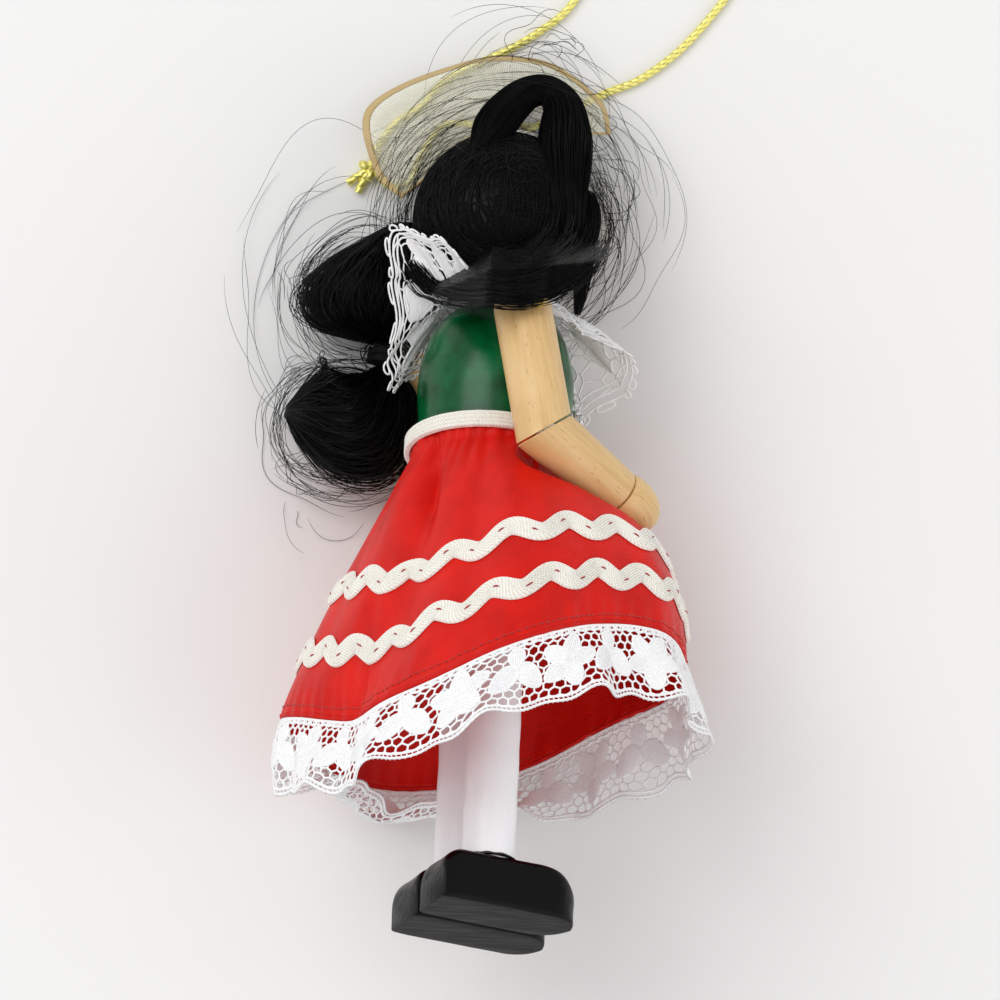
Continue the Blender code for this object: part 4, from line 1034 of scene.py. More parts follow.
def cloth(name, surface, columns, rows, thickness, flat, ring=False, tube=False, smooth=80):
    """A sheet over surface(u, v) in doll millimetres, given its thickness both ways. A ring closes
    in u and a tube in v too. Its UV map is in metres of flat cloth."""
    across = columns if ring else columns + 1
    down = rows if tube else rows + 1
    points = []
    for row in range(down):
        for column in range(across):
            points.append(on_doll(*surface(column / columns, row / rows)))
    faces = []
    places = []
    for row in range(rows):
        for column in range(columns):
            after = (column + 1) % across
            low = row * across
            high = (row + 1) % down * across
            faces.append((low + column, high + column, high + after, low + after))
            corners = ((column, row), (column, row + 1), (column + 1, row + 1), (column + 1, row))
            places += [(flat[0] * c / columns, flat[1] * r / rows) for c, r in corners]
    mesh = mesh_from(name, points, faces, smooth)
    layer = mesh.uv_layers.new(name="cloth")
    layer.data.foreach_set("uv", [value for pair in places for value in pair])
    if thickness:
        sheet_piece = bpy.data.objects.new(name, mesh)
        bpy.context.scene.collection.objects.link(sheet_piece)
        body = sheet_piece.modifiers.new("thickness", "SOLIDIFY")
        body.thickness = thickness * MM
        body.offset = 0
        mesh = settle(sheet_piece)
        bpy.data.objects.remove(sheet_piece)
    return mesh


# Thread tree: turns any lines into round threads of one thickness. Nets, stitches, cords of
# lace and strands of hair are all made with it.
def thread_tree():
    """Builds the tree; its inputs are the lines, the threads' thickness and sides, and their finish."""
    tree = bpy.data.node_groups.new("threads_along_lines", "GeometryNodeTree")
    for name, kind in (
        ("Lines", "NodeSocketGeometry"),
        ("Thickness", "NodeSocketFloat"),
        ("Sides", "NodeSocketInt"),
        ("Finish", "NodeSocketMaterial"),
    ):
        tree.interface.new_socket(name, in_out="INPUT", socket_type=kind)
    tree.interface.new_socket("Threads", in_out="OUTPUT", socket_type="NodeSocketGeometry")
    given = add(tree, "NodeGroupInput")
    curves = add(tree, "GeometryNodeMeshToCurve", {"Mesh": given.outputs["Lines"]})
    taper = add(tree, "GeometryNodeInputNamedAttribute", {"Name": "taper"}, data_type="FLOAT")
    half = add(tree, "ShaderNodeMath", {0: given.outputs["Thickness"], 1: 0.5}, operation="MULTIPLY")
    section = add(
        tree,
        "GeometryNodeCurvePrimitiveCircle",
        {"Resolution": given.outputs["Sides"], "Radius": half.outputs["Value"]},
    )
    tubes = add(
        tree,
        "GeometryNodeCurveToMesh",
        {
            "Curve": curves.outputs["Curve"],
            "Profile Curve": section.outputs["Curve"],
            "Scale": taper.outputs["Attribute"],
            "Fill Caps": True,
        },
    )
    soft = add(tree, "GeometryNodeSetShadeSmooth", {"Geometry": tubes.outputs["Mesh"]})
    whole = add(tree, "GeometryNodeRealizeInstances", {"Geometry": soft.outputs["Geometry"]})
    painted = add(
        tree,
        "GeometryNodeSetMaterial",
        {"Geometry": whole.outputs["Geometry"], "Material": given.outputs["Finish"]},
    )
    end = add(tree, "NodeGroupOutput")
    tree.links.new(painted.outputs["Geometry"], end.inputs["Threads"])
    return tree


THREADS = thread_tree()


def grown(mesh, tree, finish, **values):
    """The mesh that a geometry tree makes of this one."""
    start = bpy.data.objects.new("start", mesh)
    bpy.context.scene.collection.objects.link(start)
    change = start.modifiers.new("tree", "NODES")
    change.node_group = tree
    values["Finish"] = finish
    for item in tree.interface.items_tree:
        if item.in_out == "INPUT" and item.name in values:
            change[item.identifier] = values[item.name]
    made = settle(start)
    bpy.data.objects.remove(start)
    return made


def threads(name, lines, thickness, finish, sides, thin_ends=False):
    """Lines of points, in the row frame, as threads of this thickness in millimetres."""
    points = []
    edges = []
    taper = []
    for line in lines:
        first = len(points)
        points += line
        edges += [(first + step, first + step + 1) for step in range(len(line) - 1)]
        last = max(len(line) - 1, 1)
        for step in range(len(line)):
            near = min(step, last - step) / last
            taper.append(min(1.0, 0.35 + 5 * near) if thin_ends else 1.0)
    mesh = mesh_from(name, points, [], edges=edges)
    mesh.attributes.new("taper", "FLOAT", "POINT").data.foreach_set("value", taper)
    mesh = grown(mesh, THREADS, finish, Thickness=thickness * MM, Sides=sides)
    mesh.name = name
    return new_piece(name, mesh, finish)


# Red polyester satin: fine slanting ribs of the weave about 0.35 mm apart, a soft sheen on
# the floats, slightly deeper red where the dye took.
satin, tree, shader = start_finish(
    "red_satin",
    Sheen_Weight=0.06,
    Sheen_Roughness=0.4,
    Sheen_Tint=tone("#ff6a50"),
    Specular_IOR_Level=0.2,
)
place = add(tree, "ShaderNodeUVMap", uv_map="cloth")
slant = add(tree, "ShaderNodeMapping", {"Vector": place.outputs["UV"], "Rotation": (0, 0, radians(28))})
ribs = add(
    tree,
    "ShaderNodeTexWave",
    {
        "Vector": slant.outputs["Vector"],
        "Scale": wave_scale(0.35),
        "Distortion": 1.2,
        "Detail": 2.0,
        "Detail Scale": 3.0,
    },
    wave_type="BANDS",
    bands_direction="Y",
)
dye = add(tree, "ShaderNodeTexNoise", {"Vector": place.outputs["UV"], "Scale": 160.0, "Detail": 4.0})
red = add(
    tree, "ShaderNodeValToRGB", {"Fac": dye.outputs["Fac"]}, stops=((0.3, "#cf0f04"), (0.7, "#e8180a"))
)
rib_tone = add(
    tree,
    "ShaderNodeMix",
    {"Factor": 0.16, "A": red.outputs["Color"], "B": ribs.outputs["Color"]},
    data_type="RGBA",
    blend_type="MULTIPLY",
)
gleam = add(tree, "ShaderNodeMapRange", {"Value": ribs.outputs["Fac"], "To Min": 0.52, "To Max": 0.36})
rib_bump = add(tree, "ShaderNodeBump", {"Height": ribs.outputs["Fac"], "Strength": 0.3, "Distance": 0.00006})
feed(
    tree,
    shader,
    Base_Color=rib_tone.outputs["Result"],
    Roughness=gleam.outputs["Result"],
    Normal=rib_bump.outputs["Normal"],
)

SKIRT_COLUMNS = 360
SKIRT_ROWS = 72
HEM_GIRTH = 190.0
SKIRT_LENGTH = 44.0
skirt_mesh = cloth(
    "skirt_satin",
    lambda u, v: satin_point(2 * pi * u, v**1.15),
    SKIRT_COLUMNS,
    SKIRT_ROWS,
    CLOTH,
    (HEM_GIRTH * MM, SKIRT_LENGTH * MM),
    ring=True,
)
skirt = new_piece("skirt_satin", skirt_mesh, satin)
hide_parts("skirt")

# Hem: turned in 1.4 mm and sewn with one row of red machine stitches about 1 mm long, whose
# ends dip into the cloth; the fold makes a round edge.
HEM_SEAM = 0.968        # share of the skirt's fall where the row lies
HEM_STITCHES = 178
STITCH_SHARE = 0.78     # of the row is thread on top of the cloth
STITCH_STAND = 0.09
hem_stitches = []
for index in range(HEM_STITCHES):
    start = 2 * pi * index / HEM_STITCHES
    span = 2 * pi / HEM_STITCHES * STITCH_SHARE
    stitch = []
    for step in range(5):
        lift = CLOTH / 2 + STITCH_STAND * sin(pi * step / 4)
        stitch.append(on_doll(*satin_point(start + span * step / 4, HEM_SEAM, lift)))
    hem_stitches.append(stitch)

# Red sewing thread: a deeper red than the satin, mottled by its twist.
red_thread = mottled(
    "red_sewing_thread", 3000.0, 2.0, (0.0, "#8e0c04"), (1.0, "#c81a0d"), Roughness=0.5, Sheen_Weight=0.2
)
hem_row = threads("hem_stitches", hem_stitches, 0.2, red_thread, sides=6, thin_ends=True)
fold_line = []
for step in range(361):
    fold_line.append(on_doll(*satin_point(2 * pi * step / 360, 0.999, 0.02)))
hem_roll = threads("hem_fold", [fold_line], CLOTH + 0.28, satin, sides=8)

# Waistband: flat cotton braid with four raised cords, glued over the skirt's raw top edge.
# It is one band, closed both round the waist and round its own section.

# Cream cotton: each cord of the braid shows slanting yarns about 0.4 mm apart, and the pores between its
# loops are coloured darker as painted shade.
cotton, tree, shader = start_finish("cream_cotton_braid", Roughness=0.85, Sheen_Weight=0.25)
place = add(tree, "ShaderNodeUVMap", uv_map="cloth")
yarn_place = add(tree, "ShaderNodeMapping", {"Vector": place.outputs["UV"], "Rotation": (0, 0, radians(35))})
yarns = add(
    tree,
    "ShaderNodeTexWave",
    {
        "Vector": yarn_place.outputs["Vector"],
        "Scale": wave_scale(0.42),
        "Distortion": 2.0,
        "Detail": 2.0,
        "Detail Scale": 2.0,
    },
    wave_type="BANDS",
    bands_direction="X",
)
loops = add(tree, "ShaderNodeTexVoronoi", {"Vector": place.outputs["UV"], "Scale": 2400.0})
cream = add(
    tree, "ShaderNodeValToRGB", {"Fac": yarns.outputs["Fac"]}, stops=((0.0, "#ebe6da"), (1.0, "#fffdf6"))
)
pores = add(
    tree, "ShaderNodeMapRange", {"Value": loops.outputs["Distance"], "From Min": 0.0, "From Max": 0.28}
)
# Painted shade: the pores between the knit's loops are coloured a darker grey-cream.
cotton_tone_pore_shade = add(
    tree,
    "ShaderNodeMix",
    {"Factor": pores.outputs["Result"], "A": tone("#cfc5b2"), "B": cream.outputs["Color"]},
    data_type="RGBA",
)
knit = add(
    tree, "ShaderNodeMath", {0: yarns.outputs["Fac"], 1: pores.outputs["Result"]}, operation="ADD"
)
knit_bump = add(
    tree, "ShaderNodeBump", {"Height": knit.outputs["Value"], "Strength": 0.5, "Distance": 0.00012}
)
feed(tree, shader, Base_Color=cotton_tone_pore_shade.outputs["Result"], Normal=knit_bump.outputs["Normal"])

BAND_BOTTOM = SKIRT_TOP - 0.8 * BRAID_HEIGHT
BAND_OUTSIDE = 0.8      # share of v that runs down the outside


def band_surface(u, v):
    """Round the ribbed section: v runs down the outside and up the inside."""
    angle = 2 * pi * u
    inside = SKIRT_TOP_RADIUS + CLOTH / 2 + GAP
    if v < BAND_OUTSIDE:
        down = v / BAND_OUTSIDE
        ridge = abs(sin(pi * BRAID_RIDGES * down)) ** 0.7
        out = BRAID_THICKNESS * (0.62 + 0.38 * ridge)
        rise = BRAID_HEIGHT * (1 - down)
    else:
        out = 0.0
        rise = BRAID_HEIGHT * (v - BAND_OUTSIDE) / (1 - BAND_OUTSIDE)
    sway = waist_sway(angle) + 0.05 * noise.noise(Vector((9 * cos(angle), 9 * sin(angle), 3)))
    radius = inside + out + 0.04 * sin(150 * angle) * (out > 0)
    return Vector((radius * cos(angle), radius * sin(angle), BAND_BOTTOM + rise + sway))


band_mesh = cloth(
    "waist_braid", band_surface, 480, 40, 0, (80 * MM, 4.2 * MM), ring=True, tube=True, smooth=70
)
band = new_piece("waist_braid", band_mesh, cotton)
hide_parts("waistband")

# Rick-rack: two wavy bands of knitted cotton braid with nine raised cords, sewn down along
# the middle with red thread; they follow every fold of the skirt.
RICK_RACK_WIDTH = 3.5
RICK_RACK_SWING = 1.05
RICK_RACK_WAVE = 8.6
RICK_RACK_CORDS = 9
RICK_RACK_TOP = 0.75    # share of v that runs over its top
RICK_RACK_STITCH = 4.3  # from one stitch to the next
UPPER_FALL = 0.555
LOWER_FALL = 0.785


def rick_rack(name, node, middle, phase):
    """One band round the skirt, its middle at this share of the skirt's fall, and its stitches."""
    level = [skirt_point(2 * pi * step / 60, middle) for step in range(60)]
    length = sum((level[step] - level[step - 1]).length for step in range(60))
    waves = round(length / RICK_RACK_WAVE)

    def on_band(angle, across, out):
        beat = waves * angle + phase
        slope = RICK_RACK_SWING * 2 * pi / RICK_RACK_WAVE * cos(beat)
        around = (skirt_point(angle + 0.01, middle) - skirt_point(angle - 0.01, middle)).length / 0.02
        drop = (skirt_point(angle, 1) - skirt_point(angle, 0)).length
        reach = RICK_RACK_WIDTH * across / hypot(1, slope)
        angle -= slope * reach / around
        fall = middle + (RICK_RACK_SWING * sin(beat) + reach) / drop
        spot = satin_point(angle, fall) + skirt_normal(angle, fall) * (CLOTH / 2 + 0.12 + out)
        return lifted(spot, SKIRT_REST - 0.62 + out)

    def surface(u, v):
        if v < RICK_RACK_TOP:
            across = v / RICK_RACK_TOP - 0.5
            cords = abs(sin(pi * RICK_RACK_CORDS * (across + 0.5))) ** 0.8
            edge = 1 - (2 * abs(across)) ** 6
            out = TRIM_THICKNESS * (0.55 + 0.35 * cords) * (0.35 + 0.65 * edge)
            return on_band(2 * pi * u, across, out)
        return on_band(2 * pi * u, 0.5 - (v - RICK_RACK_TOP) / (1 - RICK_RACK_TOP), 0.0)

    flat = (length * 1.25 * MM, 4.4 * MM)
    braid = cloth(name, surface, waves * 22, 48, 0, flat, ring=True, tube=True, smooth=70)
    made = new_piece(name, braid, cotton)
    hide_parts(node)
    stitches = []
    count = round(length / RICK_RACK_STITCH)
    for index in range(count):
        start = 2 * pi * (index + 0.3 * noise.noise(Vector((index, 3, 0)))) / count
        stitch = []
        for step in range(4):
            lift = TRIM_THICKNESS * 0.78 + 0.12 * sin(pi * step / 3)
            stitch.append(on_doll(*on_band(start + 0.011 * step, 0.04, lift)))
        stitches.append(stitch)
    sewn = threads(name + "_stitches", stitches, 0.24, red_thread, sides=6, thin_ends=True)
    return made, sewn


upper_trim = rick_rack("rick_rack_upper_braid", "rick_rack_upper", UPPER_FALL, 0.4)
lower_trim = rick_rack("rick_rack_lower_braid", "rick_rack_lower", LOWER_FALL, 1.9)


# Lace hem: machine-made cotton lace, 12 mm wide, whipped on under the hem. Hexagonal net,
# flowers and leaves worked solid with a cord round each, and a corded scalloped edge.
LACE_WIDTH = 12.0
LACE_FLARE = radians(17)
LACE_CURL = 0.2         # how sharply it curls in at the floor
LACE_CURL_SPOT = radians(98)
LACE_SCALLOPS = 24
LACE_GIRTH = 204.0
NET_CELL = 1.62
NET_THREAD = 0.32
PETAL_HEIGHT = 0.34
PETAL_TAPER = 0.25      # how much narrower a petal's outer half is
PETAL_SIDES = 22
WORKED_SPACING = 0.36   # from thread to thread over a petal

# White cotton lace: matt thread with a faint twist.
lace_cotton = mottled(
    "white_cotton_lace",
    2600.0,
    3.0,
    (0.25, "#f3f2f2"),
    (0.6, "#ffffff"),
    (0.5, 0.0001),
    Roughness=0.8,
    Sheen_Weight=0.3,
)


def in_petal(s, t, petal):
    """Less than 1 inside a petal: its middle, half length, half width and lean."""
    middle_s, middle_t, long, wide, lean = petal
    ds, dt = s - middle_s, t - middle_t
    along = ds * cos(lean) + dt * sin(lean)
    across = -ds * sin(lean) + dt * cos(lean)
    return (along / long) ** 2 + (across / (wide * (1 - PETAL_TAPER * along / long))) ** 2


def on_petal(petal, along, across):
    """The place on the flat lace this far along a petal and across it."""
    middle_s, middle_t, _, _, lean = petal
    s = middle_s + along * cos(lean) - across * sin(lean)
    t = middle_t + along * sin(lean) + across * cos(lean)
    return s, t


def flower(middle_s, middle_t, size, turn):
    """Five petals round a middle, on the flat lace."""
    found = []
    for index in range(5):
        lean = turn + 2 * pi * index / 5
        petal_s = middle_s + size * 0.92 * cos(lean)
        petal_t = middle_t + size * 0.92 * sin(lean)
        found.append((petal_s, petal_t, size * 0.72, size * 0.50, lean))
    found.append((middle_s, middle_t, size * 0.34, size * 0.34, 0.0))
    return found


def net_lines(length, width, petals, seed):
    """Lines of a hexagonal net all round the flat lace, left open under the solid petals."""
    chance = Random(seed)
    columns = 2 * round(length / NET_CELL)
    pitch = length / columns
    rise = NET_CELL / 3**0.5
    rows = int(width / (1.5 * rise)) + 1
    spots = {}
    for row in range(rows):
        for column in range(columns):
            high = 0.25 if (row + column) % 2 == 0 else -0.25
            s = column * pitch + chance.uniform(-0.13, 0.13)
            t = (row + 0.35) * width / rows + high * rise + chance.uniform(-0.12, 0.12)
            hidden = any(
                in_petal(s + shift, t, petal) < 0.9 for petal in petals for shift in (-length, 0, length)
            )
            spots[row, column] = (s, min(max(t, 0.1), width - 0.1), hidden)
    lines = []
    for (row, column), (s, t, hidden) in spots.items():
        ways = [(row, (column + 1) % columns)]
        if (row + column) % 2 == 0:
            ways.append((row + 1, column))
        for way in ways:
            if way in spots and not (hidden and spots[way][2]):
                end_s = spots[way][0]
                if end_s < s - length / 2:
                    end_s += length
                lines.append([(s, t), (end_s, spots[way][1])])
    return lines


def lens_faces(first, around, rings):
    """Faces of a lens: its upper side's middle and rings from the first point on, then its lower side's."""
    side = 1 + rings * around
    faces = []
    for top, middle in ((1, first), (-1, first + side)):
        for step in range(around):
            after = (step + 1) % around
            faces.append((middle, middle + 1 + step, middle + 1 + after)[::top])
            for ring in range(rings - 1):
                low = middle + 1 + ring * around
                faces.append((low + step, low + around + step, low + around + after, low + after)[::top])
    upper = first + side - around
    lower = upper + side
    for step in range(around):
        after = (step + 1) % around
        faces.append((upper + step, lower + step, lower + after, upper + after))
    return faces


def petal_mesh(name, petals, on_lace, thickness):
    """Solid worked petals, a little domed, as one mesh in the row frame."""
    rings = 4
    points = []
    faces = []
    for petal in petals:
        _, _, long, wide, _ = petal
        faces += lens_faces(len(points), PETAL_SIDES, rings)
        for top in (1, -1):
            points.append(on_lace(petal[0], petal[1], top * thickness * 0.75))
            for ring in range(1, rings + 1):
                share = ring / rings
                dome = thickness * (0.5 + 0.25 * (1 - share**2))
                for step in range(PETAL_SIDES):
                    turn = 2 * pi * step / PETAL_SIDES
                    along = long * share * cos(turn)
                    across = wide * share * sin(turn) * (1 - PETAL_TAPER * cos(turn) * share)
                    points.append(on_lace(*on_petal(petal, along, across), top * dome))
    return mesh_from(name, points, faces)


def outline_of(petal):
    """The flat line round a petal, which a cord follows."""
    _, _, long, wide, _ = petal
    line = []
    for step in range(PETAL_SIDES + 1):
        turn = 2 * pi * step / PETAL_SIDES
        line.append(on_petal(petal, long * cos(turn), wide * sin(turn) * (1 - PETAL_TAPER * cos(turn))))
    return line


def worked(petals):
    """Parallel threads laid over each petal along its length: flat places with their height on it."""
    lines = []
    for petal in petals:
        _, _, long, wide, _ = petal
        count = int(wide * 0.9 / WORKED_SPACING)
        for index in range(-count, count + 1):
            across = index * WORKED_SPACING
            reach = 0.92 * long * (1 - (across / wide) ** 2) ** 0.5
            line = []
            for step in range(7):
                along = reach * (step / 3 - 1)
                share = (along / long) ** 2 + (across / wide) ** 2
                height = PETAL_HEIGHT * (0.5 + 0.25 * (1 - share)) + 0.03
                line.append((*on_petal(petal, along, across), height))
            lines.append(line)
    return lines


def sewn_lace(name, on_lace, net, petals, petal_height, cords, thicknesses):
    """Net, worked flowers, cords and the yarns over the flowers, of the thicknesses of net, cord and yarn."""
    net_thread, cord, yarn = thicknesses
    made = [threads(name + "_net", net, net_thread, lace_cotton, sides=5)]
    flower_mesh = petal_mesh(name + "_flowers", petals, on_lace, petal_height)
    made.append(new_piece(name + "_flowers", flower_mesh, lace_cotton))
    corded = [[on_lace(s, t, 0.1) for s, t in outline_of(petal)] for petal in petals]
    made.append(threads(name + "_cords", corded + cords, cord, lace_cotton, sides=6))
    yarns = [[on_lace(*spot) for spot in line] for line in worked(petals)]
    made.append(threads(name + "_worked", yarns, yarn, lace_cotton, sides=4))
    return made


def on_hem_lace(s, t, lift=0.0):
    """A point of the hem lace: s along it, t down from the hem, in millimetres of flat lace."""
    angle = 2 * pi * s / LACE_GIRTH
    top = lifted(skirt_point(angle, 1.0), SKIRT_REST)
    outward = Vector((cos(angle), sin(angle), 0))
    wave = sin(LACE_SCALLOPS / 2 * angle)
    ripple = 0.35 * sin(31 * angle + 1.5 * sin(3 * angle)) * (t / LACE_WIDTH)
    scallop = 0.5 * cos(LACE_SCALLOPS * angle) * (t / LACE_WIDTH)
    fall = CLOTH / 2 + 0.1 + t + scallop
    spread = LACE_FLARE + 0.12 * wave
    off = atan2(sin(angle - LACE_CURL_SPOT), cos(angle - LACE_CURL_SPOT))
    bend = 0.004 + LACE_CURL * exp(-(off**4))
    end = spread - bend * fall
    point = top + outward * ((cos(end) - cos(spread)) / bend + ripple)
    point.z -= (sin(spread) - sin(end)) / bend
    point += outward * lift * cos(end) + Vector((0, 0, lift * sin(end)))
    return on_doll(*lifted(point, NET_THREAD / 2 + 0.05 + max(lift, 0)))


HEM_MOTIFS = 12
EDGE_STEPS = 720
EDGE_BARS = 300
HEM_CORD = 0.42
HEM_YARN = 0.2
hem_petals = []
for index in range(HEM_MOTIFS):
    middle_s = LACE_GIRTH * index / HEM_MOTIFS
    hem_petals += flower(middle_s, 5.7, 2.8, 0.35 * sin(2.1 * index))
    half_way = middle_s + LACE_GIRTH / HEM_MOTIFS / 2
    hem_petals += [
        (half_way - 2.1, 6.6, 2.8, 1.5, radians(128)),
        (half_way + 2.1, 6.6, 2.8, 1.5, radians(52)),
        (half_way, 2.9, 1.5, 1.2, radians(90)),
    ]
hem_net = net_lines(LACE_GIRTH, LACE_WIDTH, hem_petals, 11)
net_runs = [[on_hem_lace(s, t) for s, t in line] for line in hem_net]
edge_cords = []
for depth, wave in ((LACE_WIDTH, 0.0), (LACE_WIDTH - 0.75, 0.0), (0.25, 0.0), (1.0, 0.12)):
    run = []
    for step in range(EDGE_STEPS + 1):
        run.append(on_hem_lace(LACE_GIRTH * step / EDGE_STEPS, depth + wave * sin(step * 0.9)))
    edge_cords.append(run)
hem_trims = sewn_lace(
    "lace_hem", on_hem_lace, net_runs, hem_petals, PETAL_HEIGHT, edge_cords, (NET_THREAD, HEM_CORD, HEM_YARN)
)
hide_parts("lace_hem")
bars = []
for index in range(EDGE_BARS):
    s = LACE_GIRTH * index / EDGE_BARS
    bars.append([on_hem_lace(s, 0.25), on_hem_lace(s + 0.1, 1.0)])
    bars.append([on_hem_lace(s, LACE_WIDTH - 0.75), on_hem_lace(s + 0.3, LACE_WIDTH)])
    loop = []
    for step in range(6):
        bow = sin(pi * step / 5)
        loop.append(on_hem_lace(s + 0.3 * bow - 0.2, LACE_WIDTH + 0.34 * bow))
    bars.append(loop)
hem_trims.append(threads("lace_hem_edging", bars, HEM_YARN, lace_cotton, sides=4))

# Lace collar: the same lace, gathered on a thread round the neck; it lies narrow over the
# shoulders and stands out full behind the back and over the chest.
COLLAR_THICKNESS = 0.4
COLLAR_GIRTH = 118.0
COLLAR_DEPTH = 15.0
COLLAR_STAND = 8.6      # radius to which it lies on the torso's top
COLLAR_LEVEL = 0.34     # share of its depth that lies there
COLLAR_FALL = 0.7
COLLAR_MOTIFS = 10
COLLAR_PICOTS = 84
COLLAR_NET = 0.3
COLLAR_CORD = 0.32
COLLAR_YARN = 0.18
COLLAR_PETAL_HEIGHT = 0.28
COLLAR_EDGE = (
    (-180, 17.6, 107.0),
    (-150, 16.4, 103.4),
    (-132, 13.0, 98.5),
    (-112, 9.4, 96.4),
    (-70, 9.2, 96.0),
    (-42, 13.5, 93.0),
    (-24, 20.6, 90.4),
    (-14, 19.6, 87.2),
    (-2, 13.8, 82.4),
    (14, 15.6, 85.6),
    (28, 17.8, 88.6),
    (44, 13.0, 91.5),
    (70, 9.2, 96.0),
    (112, 9.4, 96.4),
    (134, 13.2, 88.6),
    (148, 15.8, 85.4),
    (160, 15.6, 90.5),
    (170, 16.8, 100.5),
    (180, 17.6, 107.0),
)


def collar_edge(angle):
    """Outer radius and height of the collar at one angle round the neck."""
    degrees = angle * 180 / pi
    for low, high in zip(COLLAR_EDGE, COLLAR_EDGE[1:]):
        if low[0] <= degrees <= high[0]:
            t = (degrees - low[0]) / (high[0] - low[0])
            t = t * t * (3 - 2 * t)
            return low[1] + (high[1] - low[1]) * t, low[2] + (high[2] - low[2]) * t


def collar_point(s, t, lift=0.0):
    """A point of the collar: s round it, t out from the neck, in millimetres of flat lace."""
    angle = -pi + 2 * pi * min(max(s / COLLAR_GIRTH % 1.0, 0.0), 0.999999)
    v = t / COLLAR_DEPTH
    edge_radius, edge_height = collar_edge(angle)
    neck_radius = NECK_DIAMETER / 2 + 1.3
    neck_height = TORSO_TOP + GAP + COLLAR_THICKNESS / 2
    full = min((edge_radius - COLLAR_STAND) / 6, 1)
    if v < COLLAR_LEVEL:
        share = v / COLLAR_LEVEL
        radius = neck_radius + (COLLAR_STAND - neck_radius) * share
        height = neck_height - COLLAR_FALL * share**3 + lift
    else:
        share = (v - COLLAR_LEVEL) / (1 - COLLAR_LEVEL)
        radius = COLLAR_STAND + (edge_radius - COLLAR_STAND) * share
        height = TORSO_TOP - COLLAR_FALL + (edge_height - TORSO_TOP + COLLAR_FALL) * share
        height += 1.0 * sin(pi * min(share, 1)) + lift
        pleat = 0.45 * sin(19 * angle) * share * full
        fine = 0.28 * sin(47 * angle + 2 * sin(7 * angle)) * share * full
        radius += pleat + fine
    return on_doll(radius * cos(angle), radius * sin(angle), height)


def dense(line):
    """A flat line with points about half a millimetre apart, to follow the collar's folds."""
    found = []
    for (s0, t0), (s1, t1) in zip(line, line[1:]):
        count = max(round(hypot(s1 - s0, t1 - t0) / 0.5), 1)
        for index in range(count):
            found.append((s0 + (s1 - s0) * index / count, t0 + (t1 - t0) * index / count))
    return found + [line[-1]]


collar_petals = []
for index in range(COLLAR_MOTIFS):
    middle_s = COLLAR_GIRTH * (index + 0.1) / COLLAR_MOTIFS
    collar_petals += flower(middle_s, 9.4, 2.35, 0.5 + 0.4 * index)
    collar_petals.append((middle_s + COLLAR_GIRTH / COLLAR_MOTIFS / 2, 10.2, 2.9, 1.4, radians(90)))
collar_net = net_lines(COLLAR_GIRTH, COLLAR_DEPTH, collar_petals, 23)
net_runs = [[collar_point(s, t) for s, t in dense(line)] for line in collar_net]
edge_cords = []
for depth in (0.3, 1.0, COLLAR_DEPTH - 1.4, COLLAR_DEPTH - 0.7, COLLAR_DEPTH):
    edge_cords.append([collar_point(COLLAR_GIRTH * step / 480, depth) for step in range(481)])
collar_lace, *collar_trims = sewn_lace(
    "lace_collar",
    collar_point,
    net_runs,
    collar_petals,
    COLLAR_PETAL_HEIGHT,
    edge_cords,
    (COLLAR_NET, COLLAR_CORD, COLLAR_YARN),
)
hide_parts("lace_collar")
picots = []
for index in range(COLLAR_PICOTS):
    s = COLLAR_GIRTH * index / COLLAR_PICOTS
    picot = []
    for step in range(13):
        turn = 2 * pi * step / 12
        picot.append(collar_point(s + 0.42 * sin(turn), COLLAR_DEPTH + 0.36 - 0.36 * cos(turn)))
    picots.append(picot)
collar_trims.append(threads("lace_collar_picots", picots, COLLAR_NET, lace_cotton, sides=6))

# Head ribbon: sheer nylon ribbon with a woven gold edge, gathered in fine pleats at the crown
# and fanned out low behind the head.
RIBBON_THICKNESS = 0.3
RIBBON_LENGTH = 61.0
RIBBON_WIDTH = 16.0
RIBBON_PLEATS = 30
RIBBON_GATHER = Vector((0.4, 123.5, 15.2))
GATHER_WIDTH = 7.0
RIBBON_EDGE = (
    (-15.6, 113.6, 6.4),
    (-19.7, 117.9, 5.0),
    (-21.8, 126.5, 4.2),
    (-16.4, 131.6, 3.2),
    (-6.1, 135.8, 3.0),
    (0.4, 136.7, 3.0),
    (6.6, 135.8, 3.2),
    (11.9, 132.3, 3.4),
    (14.6, 129.4, 4.0),
    (15.6, 125.2, 5.0),
)
RIBBON_FLUTES = 7
RIBBON_LINE = through([Vector(point) for point in RIBBON_EDGE], 24)


def off_cap(point, radius):
    """The point, pushed away from the head until a strand of this radius clears the hair."""
    centre = Vector((0, 0, HEAD_CENTRE))
    out = Vector(point) - centre
    least = HAIR_RADIUS + GAP + radius
    return Vector(point) if out.length >= least else centre + out.normalized() * least


def standing(x, y, height):
    """A point of the lying doll, in the standing doll's frame."""
    return LAY_DOWN.transposed() @ Vector((x, y, height - REST_DEPTH))


